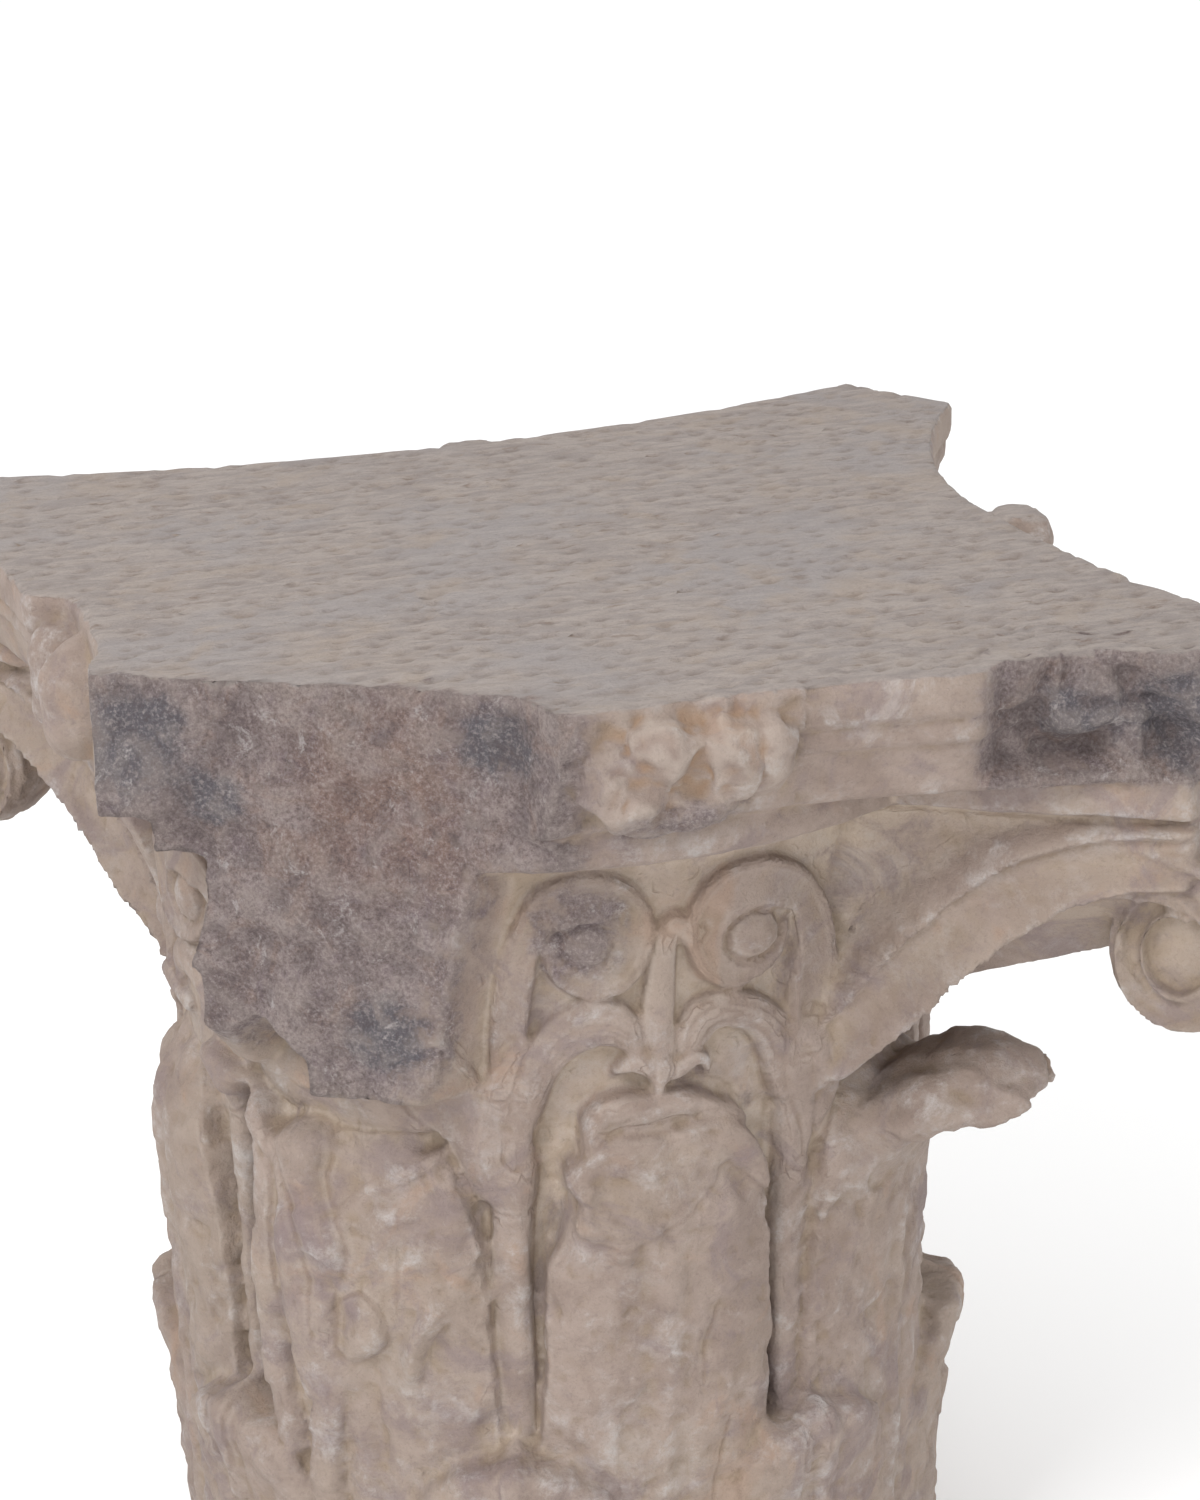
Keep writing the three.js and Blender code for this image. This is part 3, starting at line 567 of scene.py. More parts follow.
def sweep(route, section, outward, steps):
    """A section of (across, out) points swept along rows of (x, y, z, half width, half thickness)."""
    path = smooth_route(route, 6)
    length = np.r_[0, np.cumsum(np.linalg.norm(np.diff(path[:, :3], axis=0), axis=1))]
    at = np.linspace(0, length[-1], steps + 1)
    path = np.stack([np.interp(at, length, column) for column in path.T], -1)
    along = np.gradient(path[:, :3], axis=0)
    along /= np.linalg.norm(along, axis=1)[:, None]
    out = outward - along * (outward * along).sum(1)[:, None]
    out /= np.linalg.norm(out, axis=1)[:, None]
    across = np.cross(along, out)
    section = np.array(section)

    def put(turn, level):
        i = np.round(level * steps).astype(int)
        a, o = section[np.round(turn * len(section)).astype(int) % len(section)].T
        return path[i, :3] + across[i] * (a * path[i, 3])[:, None] + out[i] * (o * path[i, 4])[:, None]

    return grid_column(len(section), steps, put)


def volute(corner):
    turn = math.radians(corner)
    sideways = np.array([math.cos(turn), math.sin(turn), 0])
    made = []
    for hand in (-1, 1):
        rows = []
        for radius, height, away in ((298, 500, 34), (322, 513, 30), (344, 517, 22)):
            rows.append((*(place(corner, radius, height) - hand * away * sideways), 17, 13))
        for i in range(1, 15):
            t = i / 14
            angle = math.pi * 0.66 - t * 1.15 * 2 * math.pi
            size = 39 - 14 * t
            spot = place(corner, SCROLL_RADIUS + 0.85 * size * math.cos(angle),
                         VOLUTE_HEIGHT + size * math.sin(angle))
            rows.append((*(spot - hand * 17 * sideways), 14 - 8 * t, 12))
        made.append(sweep(rows, BAND_SECTION, -hand * sideways, 110))
    levels = [(0.1, -17), (14, -18), (26, -15), (30, -24), (40, -22), (42, -8), (42, 8), (40, 22), (30, 24),
              (26, 15), (14, 18), (0.1, 17)]

    def disc(turn_round, level):
        size, offset = np.array(levels)[np.round(level * (len(levels) - 1)).astype(int)].T
        angle = turn_round * 2 * math.pi
        spot = place(corner, SCROLL_RADIUS - 2 + 0.88 * size * np.cos(angle),
                     VOLUTE_HEIGHT + size * np.sin(angle))
        return spot + offset[:, None] * sideways

    made.append(grid_column(40, len(levels) - 1, disc))
    return made


for corner in (45, 135, 225, 315):
    forms += volute(corner)


# Abacus
# The slab on top has four hollow sides between cut corners, with a flat band over two thin fillets
# and a shallow cove. The back-right corner reaches further than the others.
MID_SIDE = 270.0
PLAIN_END = (311.5, 272.5)
LONG_END_RIGHT = (357, 252)
LONG_END_BACK = (332, 316)
SIDE_STEPS = 96
ABACUS_LEVELS = [(566, 24), (568, 19), (572, 17), (580, 14.5), (588, 12), (594, 10.5), (597, 10.5),
                 (598.5, 6.5), (600, 5.5), (604, 5), (608, 5), (609.5, 8), (611, 8), (612.5, 2.5), (615, 1),
                 (630, 0), (633.5, 1), (635, 3.5)]


def abacus_put(turn, level):
    count = 4 * (SIDE_STEPS + 1)
    height, inset = np.array(ABACUS_LEVELS)[np.round(level * (len(ABACUS_LEVELS) - 1)).astype(int)].T
    index = np.round(turn * count).astype(int) % count
    side = index // (SIDE_STEPS + 1)
    t = 2 * (index % (SIDE_STEPS + 1)) / SIDE_STEPS - 1
    reach = np.full(t.shape, PLAIN_END[0])
    half = np.full(t.shape, PLAIN_END[1])
    for where, end in (((side == 1) & (t > 0), LONG_END_RIGHT), ((side == 2) & (t < 0), LONG_END_BACK)):
        reach[where], half[where] = end
    chip = np.where(side == 3, 22 * soft_step(t, -0.14, -0.06) * (1 - soft_step(t, 0.28, 0.4)), 0)
    worn_back = np.where(side == 3, soft_step(t, 0.28, 0.4), 0)
    out = MID_SIDE + (reach - MID_SIDE) * t * t - inset - chip - worn_back * (16 - inset)
    along = t * (half - 0.4 * inset)
    angle = side * math.pi / 2
    return np.stack([along * np.cos(angle) + out * np.sin(angle),
                     along * np.sin(angle) - out * np.cos(angle), height], -1)


forms.append(grid_column(4 * (SIDE_STEPS + 1), len(ABACUS_LEVELS) - 1, abacus_put))


# Fleurons
# A flower stands at the middle of each side of the abacus. The front one is worn to swirls, and
# of the left one two smooth petals are left.
def lump(middle, side, out, height, size, seed):
    """An uneven ball: size is its half width, half depth and half height."""
    bm = bmesh.new()
    bmesh.ops.create_icosphere(bm, subdivisions=4, radius=1)
    mesh = mesh_of(bm, "lump")
    co = points_of(mesh, 1).astype(np.float32)
    swell = 1 + 0.16 * lattice_noise(co, 0.9, seed) + 0.13 * np.abs(lattice_noise(co, 0.42, seed))
    co = co * swell[:, None] * size
    turn = math.radians(middle)
    sideways = np.array([math.cos(turn), math.sin(turn), 0])
    outward = np.array([math.sin(turn), -math.cos(turn), 0])
    spot = ((side + co[:, 0])[:, None] * sideways + (out + co[:, 1])[:, None] * outward
            + (height + co[:, 2])[:, None] * np.array([0, 0, 1]))
    set_points(mesh, spot)
    return mesh


FRONT_PETALS = [(-34, 262, 596, (19, 19, 27)), (-12, 266, 612, (22, 20, 17)), (14, 268, 606, (20, 20, 22)),
                (36, 262, 604, (19, 19, 24)), (2, 262, 585, (24, 18, 17)), (-20, 258, 576, (16, 14, 10))]
SIDE_PETALS = [(-38, 258, 602, (22, 18, 28)), (0, 262, 604, (24, 18, 27)), (38, 258, 602, (22, 18, 28)),
               (0, 260, 580, (20, 17, 16))]
LEFT_PETALS = [(-24, 252, 590, (22, 22, 31)), (16, 248, 588, (20, 22, 32))]
flowers = [(0, *petal, 20 + number) for number, petal in enumerate(FRONT_PETALS)]
flowers += [(middle, *petal, seed + number) for number, petal in enumerate(SIDE_PETALS)
            for middle, seed in ((90, 40), (180, 50))]
flowers += [(90, -13, 285, 619, (23, 19, 21), 71), (90, 16, 288, 610, (18, 17, 20), 72),
            (180, -40, 262, 624, (22, 20, 16), 73)]
flowers += [(270, *petal, 60 + number) for number, petal in enumerate(LEFT_PETALS)]
forms += [lump(*flower) for flower in flowers]


# One block
# The forms are one stone, so they are fused, and then the lost corner is broken away along a rough,
# nearly upright face.
VOXEL = 2.1
BREAK_AZIMUTH = -38.7
BREAK_DISTANCE = 240.0
BREAK_FOOT = 398.0


def baked(obj):
    """Works an object's modifiers into its mesh."""
    depsgraph = bpy.context.evaluated_depsgraph_get()
    mesh = bpy.data.meshes.new_from_object(obj.evaluated_get(depsgraph))
    obj.modifiers.clear()
    old, obj.data = obj.data, mesh
    bpy.data.meshes.remove(old)


def shown(name, data):
    made = bpy.data.objects.new(name, data)
    bpy.context.scene.collection.objects.link(made)
    return made


bm = bmesh.new()
for mesh in forms:
    bm.from_mesh(mesh)
    bpy.data.meshes.remove(mesh)
bmesh.ops.triangulate(bm, faces=[f for f in bm.faces if len(f.verts) > 4])
bmesh.ops.recalc_face_normals(bm, faces=bm.faces)
stone = shown("capital_stone", mesh_of(bm, "capital_stone"))
fuse = stone.modifiers.new("fuse", "REMESH")
fuse.mode = "VOXEL"
fuse.voxel_size = VOXEL * MM
fuse.adaptivity = 0
baked(stone)


def break_depth(along, height):
    """Distance of the broken face from the axis."""
    spots = np.stack(np.broadcast_arrays(along, height, 0.0), -1)
    wide = 3.5 * lattice_noise(spots, 90, 3) + 3.5 * lattice_noise(spots, 38, 4)
    small = 1.4 * lattice_noise(spots, 14, 5) + 0.7 * lattice_noise(spots, 7, 6)
    drop = HEIGHT - height
    face = BREAK_DISTANCE - 0.1 * along - 0.02 * drop
    face = face + 18 * soft_step(-along, 70, 105) * soft_step(drop, 15, 60) * (1 - soft_step(drop, 100, 160))
    face = face + 0.9 * np.maximum(along - 88, 0) * soft_step(height, 558, 566)
    pits = 2.2 * soft_step(lattice_noise(spots, 26, 7), 0.1, 0.7) + 1.5 * np.abs(lattice_noise(spots, 20, 8))
    return face + wide + small - pits + 2


def break_tool():
    """A block whose inner side is the broken face and whose foot is ragged."""
    bm = bmesh.new()
    bmesh.ops.create_grid(bm, x_segments=190, y_segments=90, size=1)
    bmesh.ops.solidify(bm, geom=bm.faces[:], thickness=1)
    mesh = mesh_of(bm, "break")
    co = points_of(mesh, 1)
    along = co[:, 0] * 300
    line = np.stack([along, np.zeros_like(along), np.zeros_like(along)], -1)
    foot = BREAK_FOOT + 7 * lattice_noise(line, 45, 8) + 3 * lattice_noise(line, 15, 9)
    height = foot + (co[:, 1] * 0.5 + 0.5) * (HEIGHT + 20 - foot)
    outer = co[:, 2] > co[:, 2].mean()
    depth = np.where(outer, 520, break_depth(along, height))
    turn = math.radians(BREAK_AZIMUTH)
    spot = np.stack([depth * math.sin(turn) + along * math.cos(turn),
                     -depth * math.cos(turn) + along * math.sin(turn), height], -1)
    set_points(mesh, spot)
    bm = bmesh.new()
    bm.from_mesh(mesh)
    bpy.data.meshes.remove(mesh)
    bmesh.ops.recalc_face_normals(bm, faces=bm.faces)
    return shown("tool", mesh_of(bm, "break"))


cut = stone.modifiers.new("cut", "BOOLEAN")
cut.operation = "DIFFERENCE"
cut.solver = "MANIFOLD"
cut.object = break_tool()
baked(stone)
bpy.data.objects.remove(bpy.data.objects["tool"])


# Wear
# Weather has rounded the carving and pitted it, a mason's point has left rows of dents on the top
# bed, and the abacus is eaten into hollows at its front right.
DENT_GAP = 13.5
DENT_DEPTH = 1.9
DENT_LONG = 5.5
DENT_SHORT = 3.0
DENT_TURN = math.radians(20)
HOLLOWS = [[(196, 634, 13, 9), (181, 607, 14, 10), (186, 586, 13, 9), (200, 581, 10, 8), (214, 592, 6, 7)],
           [(208, 634, 12, 8), (229, 618, 13, 9), (250, 588, 12, 9)],
           [(262, 632, 9, 10), (292, 610, 10, 10)]]
NOTCHES = [(288, -126, 632), (287, -168, 632), (292, -60, 634)]
TRIANGLES = 190000
HIDDEN_TRIANGLES = 45000
TOWARD_VIEW = (-0.252, -0.880, 0.402)
BOX_GAP = 0.2


def normals_of(mesh):
    normal = np.empty(len(mesh.vertices) * 3, np.float32)
    mesh.vertex_normals.foreach_get("vector", normal)
    return normal.reshape(-1, 3).astype(float)


def break_gap(co):
    """How far each point lies inside the broken face."""
    turn = math.radians(BREAK_AZIMUTH)
    depth = co[:, 0] * math.sin(turn) - co[:, 1] * math.cos(turn)
    along = co[:, 0] * math.cos(turn) + co[:, 1] * math.sin(turn)
    return break_depth(along, co[:, 2]) - depth


def dents(xy):
    """Short dents left by a point, one in each cell of a jittered grid."""
    table = np.random.default_rng(21).uniform(0, 1, (64, 64, 4))
    c, s = math.cos(DENT_TURN), math.sin(DENT_TURN)
    p = xy @ np.array([[c, -s], [s, c]]) / DENT_GAP + 100
    cell = np.floor(p).astype(int)
    total = np.zeros(len(xy))
    for step in np.ndindex(3, 3):
        neighbour = cell + step - 1
        i = neighbour % 64
        spot = table[i[:, 0], i[:, 1]]
        off = (neighbour + spot[:, :2] - p) * DENT_GAP
        size = 0.4 + 0.9 * spot[:, 2]
        shape = np.exp(-(off[:, 0] / DENT_LONG) ** 2 - (off[:, 1] / DENT_SHORT) ** 2)
        total = np.maximum(total, DENT_DEPTH * size * shape * (spot[:, 3] > 0.25))
    return total


def folded(size, seed):
    """Noise with sharp crests, for worn petals and hollows."""
    return np.abs(lattice_noise(bent, size, seed))


def set_inside(co, foot):
    """Keeps the block inside the solid's box, with its lowest points flat on the floor."""
    low, high = np.array(cad_box) / MM
    co = np.clip(co, low + BOX_GAP, high - BOX_GAP * np.array([1, 1, 0]))
    co[:, 2] = np.where(co[:, 2] < foot, 0, co[:, 2])
    set_points(stone.data, co)


co = points_of(stone.data)
x, y, z = co.T
normal = normals_of(stone.data)
on_top = soft_step(z, 626, 633) * soft_step(normal[:, 2], 0.6, 0.9)
on_break = (1 - soft_step(np.abs(break_gap(co)), 1.0, 4.0)) * soft_step(z, 400, 430)
carved = (1 - on_top) * (1 - on_break)
slab = soft_step(z, 560, 572)
crisp = soft_step(z, 385, 410) * (1 - slab) * (y < 0)
stems = np.abs(np.abs(FACE_RADIUS * np.arctan2(x, -y) - 0.5) - 80.5) < 13
crisp = np.maximum(crisp, 0.7 * stems * (z > 215) * (z < 400))
leafy = carved * (1 - slab) * (1 - crisp)
shift = (1.4 - 0.7 * slab) * lattice_noise(co, 60, 11) + (0.3 * carved + leafy) * lattice_noise(co, 24, 12)
shift += (0.35 + 0.45 * on_break + 0.1 * carved + 0.5 * leafy) * lattice_noise(co, 10, 13)
shift += (0.2 + 0.55 * on_break + 0.2 * leafy) * lattice_noise(co, 5, 14)
bent = co + 5 * np.stack([lattice_noise(co, 14, seed) for seed in (16, 17, 18)], -1)
shift -= (0.1 * carved + 1.3 * leafy) * soft_step(lattice_noise(bent, 22, 15), 0.12, 0.24)
shift -= (0.1 * carved + 0.7 * leafy) * soft_step(lattice_noise(bent, 9, 19), 0.2, 0.35)
flower = (y < -244) * (np.abs(x) < 56) * soft_step(z, 566, 572)
shift += flower * (8 * (0.3 - folded(24, 33)) + 3 * (0.3 - folded(11, 34)))
tips = soft_step(np.hypot(x, y), 236, 244) * (z < 406) * (z > 320)
shift += tips * (2.4 * (0.35 - folded(19, 35)) + 1.2 * lattice_noise(co, 8, 36))
head = (1 - soft_step(np.hypot(x, (z - 362) * 1.7), 46, 58)) * (y < -190)
shift += head * (lattice_noise(co, 8, 27) + 0.8 * lattice_noise(co, 5, 28))
shift *= 1 - 0.6 * on_top
shift -= on_top * dents(co[:, :2])
co += normal * shift[:, None]

eaten = soft_step(x, 142, 162) * soft_step(z, 566, 582)
eaten *= np.where(z > 631, soft_step(-y, 180, 275), soft_step(-y, 225, 245))
dip = 3 + 13 * folded(34, 31) + 6 * folded(14, 32) + 3 * soft_step(z, 600, 630)
for route in HOLLOWS:
    path = smooth_route(route)
    near = np.full(len(co), 1e9)
    for spot in path:
        near = np.minimum(near, np.hypot(x - spot[0], z - spot[1]))
    dip = dip + path[:, 2].mean() * np.exp(-(near / path[:, 3].mean()) ** 2)
facing = soft_step(-normal[:, 1], 0.1, 0.5)
y += eaten * dip * np.maximum(facing, 1 - soft_step(HEIGHT - z, 1, 4))
for notch in NOTCHES:
    x -= 7 * np.exp(-(np.linalg.norm(co - notch, axis=1) / 8) ** 2)
set_inside(co, 2.0)


def triangle_count():
    return sum(len(p.vertices) - 2 for p in stone.data.polygons)


def thin_to(ratio, where=""):
    """Thins the block, or only the points of one vertex group, to a share of its faces."""
    thin = stone.modifiers.new("thin", "DECIMATE")
    thin.ratio = ratio
    thin.vertex_group = where
    baked(stone)


hidden = normals_of(stone.data) @ TOWARD_VIEW < -0.2
group = stone.vertex_groups.new(name="hidden")
group.add(np.flatnonzero(hidden).tolist(), 1.0, "REPLACE")
total = triangle_count()
thin_to(1 - (total * hidden.mean() - HIDDEN_TRIANGLES) / total, "hidden")
thin_to(min(1.0, TRIANGLES / triangle_count()))
stone.vertex_groups.clear()
set_inside(points_of(stone.data), 0.8)
stone.data.polygons.foreach_set("use_smooth", [True] * len(stone.data.polygons))


# Finish of the marble
# Cream and tan marble with mauve patches and white bruises. Its hollows and carved lines are darkened to a
# yellow-brown as painted shade, the rims beside the lines are pale with wear and painted highlight, and wide
# recesses are lightened as painted light. The broken face and the eaten corner have a mauve and blue-grey
# crust, and the top bed has a thin grey film.
BLUE_SPOTS = [((-0.247, -0.138, 0.604), 0.05), ((-0.213, -0.16, 0.571), 0.03), ((-0.09, -0.235, 0.61), 0.038),
              ((-0.135, -0.189, 0.453), 0.04), ((0.19, -0.285, 0.60), 0.045), ((0.25, -0.29, 0.60), 0.05)]
RED_SPOT = (-0.141, -0.207, 0.58)
FRONT_FLOWER = (0.0, -0.285, 0.6)
BAND_END = [236, -160, 520]


def smoothed(values, rounds):
    """Each row of values averaged with its neighbours, again and again."""
    count = np.bincount(pairs.ravel(), minlength=len(values))[:, None]
    for _ in range(rounds):
        total = np.stack([np.bincount(pairs[:, 0], column[pairs[:, 1]], len(values))
                          + np.bincount(pairs[:, 1], column[pairs[:, 0]], len(values))
                          for column in values.T], -1)
        values = 0.5 * values + 0.5 * total / np.maximum(count, 1)
    return values


def within(distance, full, none):
    """1 up to one distance, falling to 0 at the next."""
    return 1 - soft_step(distance, full, none)


def from_grid(grid):
    """Values of the carving's grid at the block's points."""
    c, r = np.floor(column).astype(int), np.clip(np.floor(row).astype(int), 0, grid.shape[0] - 2)
    fc, fr = column - c, np.clip(row - r, 0, 1)
    below, over = [grid[line, c % AROUND] * (1 - fc) + grid[line, (c + 1) % AROUND] * fc
                   for line in (r, r + 1)]
    return below * (1 - fr) + over * fr


def keep(name, values, low=0, high=1):
    """Values at the block's points, for the marble to read."""
    layer = stone.data.attributes.new(name, "FLOAT", "POINT")
    layer.data.foreach_set("value", np.clip(values, low, high).astype(np.float32))


co = points_of(stone.data)
x, y, z = co.T
normal = normals_of(stone.data)
pairs = np.empty(len(stone.data.edges) * 2, np.int32)
stone.data.edges.foreach_get("vertices", pairs)
pairs = pairs.reshape(-1, 2)
near_hollow = ((smoothed(co, 5) - co) * normal).sum(1)
wide_hollow = ((smoothed(co, 60) - co) * normal).sum(1)
turn = np.degrees(np.arctan2(x, -y))
side = FACE_RADIUS * np.radians(turn)
gap = np.abs(break_gap(co))
facing_up = soft_step(normal[:, 2], 0.75, 0.95)
past_flank = turn - np.interp(z, FLANK_HEIGHTS, FLANK_ENDS)
broken = within(gap, 3, 10) * soft_step(z, 404, 424) * (1 - facing_up)
keep("crust", np.maximum.reduce([
    broken * (1 - 0.5 * soft_step(past_flank, -7, 1) * within(z, 535, 560)),
    0.5 * within(past_flank, -1, 5) * (turn > -60) * soft_step(z, 415, 440) * (1 - facing_up),
    0.8 * soft_step(-x, 35, 70) * soft_step(-y, 170, 200) * soft_step(z, 555, 570) * (1 - facing_up),
    soft_step(x + 14 * lattice_noise(co, 30, 41), 125, 175) * soft_step(-y, 215, 245)
    * soft_step(z, 562, 570) * (1 - 0.9 * facing_up),
    0.62 * within(np.hypot(side - LEFT_EYE[0] + 4, z - LEFT_EYE[1] - 12), 14, 42) * (y < 0),
    0.6 * within(np.linalg.norm((co - BAND_END) * [1, 1, 1.8], axis=1), 40, 75),
    0.6 * within(np.hypot(x + 5, (z - 572) * 2.5), 25, 50) * (y < -240)]))
keep("purple", np.maximum.reduce([
    0.5 * within(np.hypot(side + 185, (z - 290) * 0.4), 12, 40),
    0.35 * within(np.hypot(side + 130, z - 200), 40, 85),
    0.35 * within(np.hypot(side - 25, (z - 362) * 1.3), 10, 40)]))
keep("bed", soft_step(z, 628, 633) * soft_step(normal[:, 2], 0.55, 0.85))
# Painted shade: the finish darkens these hollows, creases and dents to a yellow-brown.
keep("hollow", soft_step(near_hollow, 0.2, 1.1))
# Painted light: wide recesses that don't face up, such as the bell under the lip, are lightened to a pale tan
# to offset their shade.
keep("sheltered_painted_light", soft_step(wide_hollow, 0.5, 7) * (1 - soft_step(normal[:, 2], 0.4, 0.9)))
keep("worn_edge", soft_step(-near_hollow, 0.15, 0.8))
column, row = (turn + 180) / 360 * AROUND, z / CORE_TOP * (on_grid[0] - 1)
off_core = np.abs(np.hypot(x, y) - from_grid(core_radius[order].reshape(on_grid)))
# Carved lines, which the finish draws as a groove in its bump, with painted shade along them and a painted
# highlight beside them.
keep("crease_distance", from_grid(crease_grid), -FAR, FAR)
keep("crease_strength", from_grid(strength_grid) * (z < 560) * (gap > 6) * within(off_core, 5, 12))


class Socket:
    """A shader socket that takes part in sums. Its numbers become Math nodes."""

    def __init__(self, material, socket):
        self.material, self.socket = material, socket

    def sum(self, operation, first, second):
        return self.material.node("ShaderNodeMath", {"operation": operation}, {0: first, 1: second})

    def __add__(self, other):
        return self.sum("ADD", self, other)

    def __sub__(self, other):
        return self.sum("SUBTRACT", self, other)

    def __rsub__(self, other):
        return self.sum("SUBTRACT", other, self)

    def __mul__(self, other):
        return self.sum("MULTIPLY", self, other)

    __radd__, __rmul__ = __add__, __mul__


def colour(*looks):
    """A colour given as it looks, red, green and blue from 0 to 255."""
    return (*[((c / 255 + 0.055) / 1.055) ** 2.4 for c in looks], 1)


class Finish:
    """A material made node by node."""

    def __init__(self, name):
        self.data = bpy.data.materials.new(name)
        self.data.use_nodes = True
        self.tree = self.data.node_tree
        self.shader = self.tree.nodes["Principled BSDF"].inputs

    def link(self, target, value):
        if isinstance(value, Socket):
            self.tree.links.new(value.socket, target)
        else:
            target.default_value = value

    def node(self, kind, settings, inputs, output=0):
        made = self.tree.nodes.new(kind)
        for name, value in settings.items():
            setattr(made, name, value)
        for name, value in inputs.items():
            self.link(made.inputs[name], value)
        return Socket(self, made.outputs[output])

    def attribute(self, name):
        return self.node("ShaderNodeAttribute", {"attribute_name": name}, {}, "Fac")

    def noise(self, place, scale, detail=4, roughness=0.55, distortion=0.0):
        return self.node("ShaderNodeTexNoise", {}, {"Vector": place, "Scale": scale, "Detail": detail,
                                                    "Roughness": roughness, "Distortion": distortion}, "Fac")

    def band(self, value, low, high):
        return self.node("ShaderNodeMapRange", {"interpolation_type": "SMOOTHSTEP"},
                         {"Value": value, "From Min": low, "From Max": high})

    def mix(self, factor, first, second, blend="MIX"):
        return self.node("ShaderNodeMix", {"data_type": "RGBA", "blend_type": blend},
                         {0: factor, 6: first, 7: second}, 2)

    def layered(self, tone, *layers):
        """A colour with others laid over it, each (how much of it, its red, green and blue)."""
        for share, *looks in layers:
            tone = self.mix(share, tone, colour(*looks))
        return tone

    def patch(self, place, centre, inner, outer):
        """1 near a spot on the block, falling to 0 at the outer distance."""
        away = self.node("ShaderNodeVectorMath", {"operation": "DISTANCE"}, {0: place, 1: centre}, "Value")
        return 1 - self.band(away, inner, outer)


marble = Finish("weathered_marble")
spot = marble.node("ShaderNodeTexCoord", {}, {}, "Object")
wide = marble.noise(spot, 9, 3)
cloud = marble.noise(spot, 26, 5, 0.6, 0.6)
mottle = marble.noise(spot, 85, 6, 0.65, 0.4)
grain = marble.noise(spot, 420, 4, 0.7)
coarse_grain = marble.noise(spot, 420, 8, 0.8, 0.2)
crust_here = marble.attribute("crust")
# Painted shade: hollows, creases and dents are darkened to a yellow-brown in the carved stone, the top bed
# and the crust.
hollow_shade = marble.attribute("hollow")
edge_here = marble.attribute("worn_edge")
bed_here = marble.attribute("bed")

crease = marble.attribute("crease_distance") + (marble.noise(spot, 150, 3) - 0.5) * 2.2
crease_away = marble.node("ShaderNodeMath", {"operation": "ABSOLUTE"}, {0: crease})
crease_strength = marble.attribute("crease_strength") * marble.band(marble.noise(spot, 40, 3), 0.25, 0.5)
# Painted shade along carved lines. The same mask sinks them in the bump.
crease_groove_and_shade = (1 - marble.band(crease_away, 0.1, 1.3)) * crease_strength
# Pale rims beside carved lines: worn stone, partly a painted highlight.
rim_wear_and_highlight = marble.band(crease_away, 1.0, 2.2) * (1 - marble.band(crease_away, 2.6, 4.6)) * crease_strength
stain = marble.band(marble.noise(spot, 17, 4, 0.6, 1.0), 0.56, 0.7)
purple_here = marble.band(marble.attribute("purple") + (cloud - 0.5) * 1.6 + (mottle - 0.5) * 0.8, 0.2, 0.75)
mauve = marble.band(marble.noise(spot, 20, 6, 0.68, 0.9), 0.5, 0.66)
bruise = marble.band(marble.noise(spot, 30, 8, 0.78, 0.3), 0.49, 0.68) * (edge_here * 0.6 + 0.3)
petals = marble.patch(spot, FRONT_FLOWER, 0.035, 0.062)
carved_tone = marble.layered(
    colour(174, 156, 145), (marble.band(cloud, 0.35, 0.68), 154, 135, 124),
    (marble.band(mottle, 0.5, 0.78) * 0.7, 146, 128, 120),
    (marble.band(wide, 0.42, 0.66) * 0.45, 176, 160, 144),
    (marble.band(mottle, 0.42, 0.2) * 0.6, 186, 172, 162), (stain * 0.45, 178, 146, 122),
    # Painted light: a pale tan laid on wide recesses to offset their shade.
    (purple_here * 0.75, 146, 128, 128), (marble.attribute("sheltered_painted_light") * 0.85, 218, 200, 181),
    # Painted shade in hollows and along carved lines, and pale rims beside the lines that are partly wear and
    # partly painted highlight.
    (hollow_shade * 0.6, 150, 129, 106), (rim_wear_and_highlight * 0.4, 205, 192, 180), (crease_groove_and_shade * 0.55, 132, 108, 90),
    (mauve * 0.7, 146, 129, 127), (bruise * 0.8, 204, 198, 195),
    # Painted shade in the hollows of the front flower's petals.
    (petals * hollow_shade * 0.6, 172, 138, 110), (petals * edge_here * 0.3, 208, 196, 184))

streak_place = marble.node("ShaderNodeMapping", {}, {"Vector": spot, "Rotation": (0, 0, math.radians(17)),
                                                     "Scale": (1, 3.2, 1)})
dark_marks = marble.band(marble.noise(streak_place, 42, 7, 0.75), 0.58, 0.66)
bed_tone = marble.layered(
    colour(180, 168, 160),
    (marble.band(marble.noise(streak_place, 34, 6, 0.7, 0.8), 0.35, 0.65), 158, 147, 142),
    (dark_marks * 0.8, 138, 118, 104), (marble.band(wide, 0.5, 0.64) * 0.5, 166, 160, 160),
    # Painted shade in the dents and hollows of the top bed.
    (marble.band(cloud, 0.5, 0.7) * 0.6, 176, 160, 146), (hollow_shade * 0.5, 132, 114, 102))

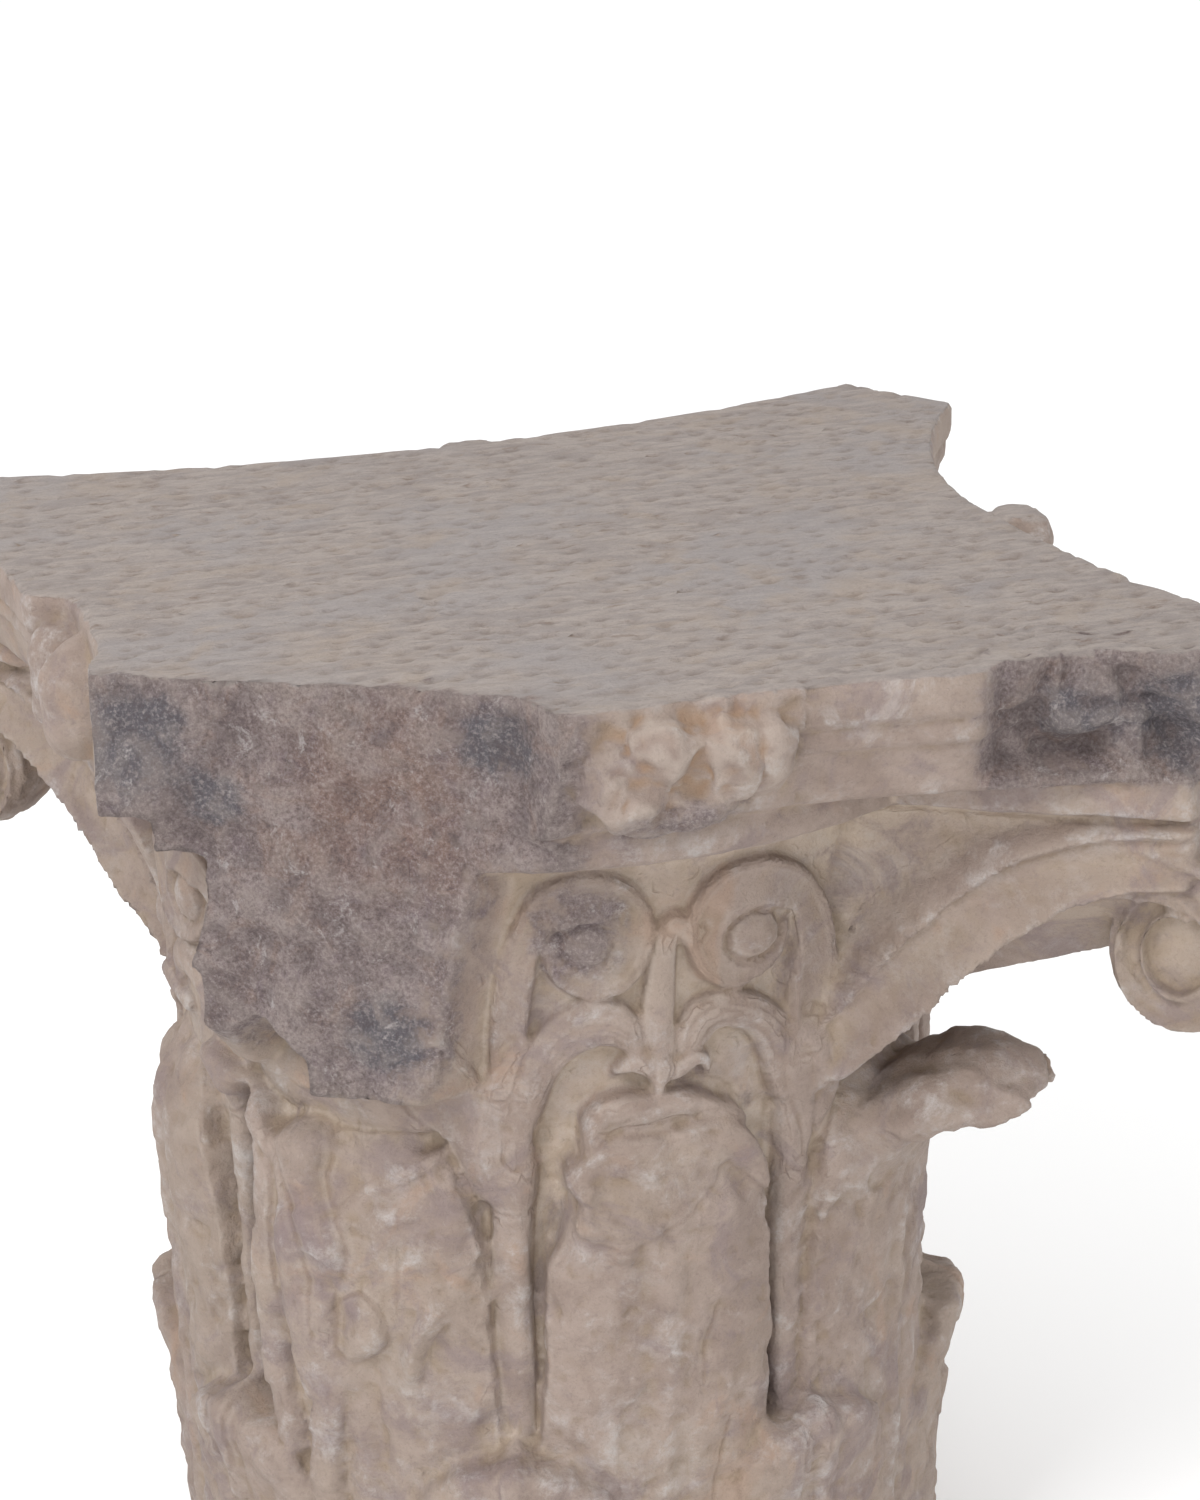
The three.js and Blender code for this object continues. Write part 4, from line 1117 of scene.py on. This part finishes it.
red_patch = marble.patch(spot, RED_SPOT, 0.02, 0.085) * marble.band(cloud, 0.3, 0.6)
patchy = marble.noise(spot, 38, 6, 0.66, 1.2)
blue = 0.0
for centre, size in BLUE_SPOTS:
    blue = marble.patch(spot, centre, 0.004, size) + blue
blue_patch = marble.band(blue + (mottle - 0.5) * 1.2, 0.25, 0.8)
fleck = marble.band(marble.noise(spot, 62, 8, 0.8, 0.4), 0.57, 0.66)
crust_tone = marble.layered(
    colour(160, 144, 141), (marble.band(cloud, 0.35, 0.65), 126, 110, 109), (red_patch * 0.8, 148, 118, 107),
    (marble.band(wide, 0.52, 0.66) * 0.5, 150, 134, 124),
    (marble.band(patchy, 0.52, 0.66) * 0.4, 158, 128, 112),
    (marble.band(patchy, 0.46, 0.34) * 0.35, 128, 110, 122), (blue_patch * 0.9, 100, 98, 106),
    (marble.band(coarse_grain, 0.49, 0.64) * 0.7, 190, 178, 175),
    (marble.band(coarse_grain, 0.52, 0.36) * 0.6, 98, 84, 83),
    # Painted shade in the hollows of the crust.
    (marble.band(mottle, 0.5, 0.3) * 0.5, 108, 94, 94),
    (hollow_shade * 0.3, 100, 88, 88), (edge_here * 0.3, 184, 170, 162), (fleck * 0.8, 196, 188, 186))

edge_noise = (mottle - 0.5) * 1.6 + (cloud - 0.5) * 0.8 + (coarse_grain - 0.5) * 0.4
tone = marble.mix(marble.band(bed_here, 0.2, 0.8), carved_tone, bed_tone)
tone = marble.mix(marble.band(crust_here + edge_noise, 0.22, 0.78), tone, crust_tone)
for share, shade in ((marble.band(grain, 0.35, 0.7) * 0.3, colour(226, 222, 220)),
                     (marble.band(coarse_grain, 0.52, 0.38) * 0.35, colour(196, 188, 184)),
                     (1.0, (0.72, 0.72, 0.72, 1))):
    tone = marble.mix(share, tone, shade, "MULTIPLY")
relief = (marble.noise(spot, 130, 6, 0.68, 0.3) * (0.9 + crust_here * 0.8)
          + coarse_grain * (0.35 + crust_here * 0.8)
          + marble.noise(streak_place, 95, 5, 0.7) * bed_here - crease_groove_and_shade * 0.45)
bump = marble.node("ShaderNodeBump", {}, {"Height": relief, "Strength": 0.9, "Distance": 0.0025})
marble.link(marble.shader["Base Color"], tone)
marble.link(marble.shader["Roughness"], 0.78 + (mottle - 0.5) * 0.25 + crust_here * 0.08)
marble.link(marble.shader["Normal"], bump)
stone.data.materials.clear()
stone.data.materials.append(marble.data)
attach(stone, "root")
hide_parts("capital")


# Floor, light and camera
# A wide pale floor under soft studio light, seen from the photograph's place.
bm = bmesh.new()
bmesh.ops.create_grid(bm, x_segments=1, y_segments=1, size=40)
floor = shown("floor", mesh_of(bm, "floor"))
pale = Finish("pale_floor")
pale.link(pale.shader["Base Color"], (0.96, 0.96, 0.96, 1))
pale.link(pale.shader["Roughness"], 0.9)
floor.data.materials.append(pale.data)

world = bpy.data.worlds.new("studio")
bpy.context.scene.world = world
world.use_nodes = True
sky = world.node_tree.nodes["Background"].inputs
sky["Color"].default_value = (1, 1, 1, 1)
sky["Strength"].default_value = 1.1


def softbox(name, spot, aim, size, power):
    light = bpy.data.lights.new(name, "AREA")
    light.shape = "RECTANGLE"
    light.size = light.size_y = size
    light.energy = power
    box = shown(name, light)
    box.location = spot
    box.rotation_euler = (Vector(aim) - Vector(spot)).to_track_quat("-Z", "Y").to_euler()


softbox("key", (-1.7, -1.3, 2.6), (0, 0, 0.35), 1.2, 52)
softbox("fill", (-0.3, -2.4, 0.25), (0, 0, 0.45), 1.8, 16)

CAMERA_PLACE = (-0.4925, -1.7187, 1.1316)
CAMERA_AZIMUTH = math.radians(-17.12)
CAMERA_ELEVATION = math.radians(18.8)
CAMERA_ROLL = math.radians(-1.56)
lens = bpy.data.cameras.new("camera")
lens.lens = 81.6
lens.sensor_width = 36
camera = shown("camera", lens)
camera.matrix_world = (Matrix.Translation(CAMERA_PLACE) @ Matrix.Rotation(CAMERA_AZIMUTH, 4, "Z")
                       @ Matrix.Rotation(math.pi / 2 - CAMERA_ELEVATION, 4, "X")
                       @ Matrix.Rotation(CAMERA_ROLL, 4, "Z"))
bpy.context.scene.camera = camera
bpy.context.scene.view_settings.view_transform = "Standard"
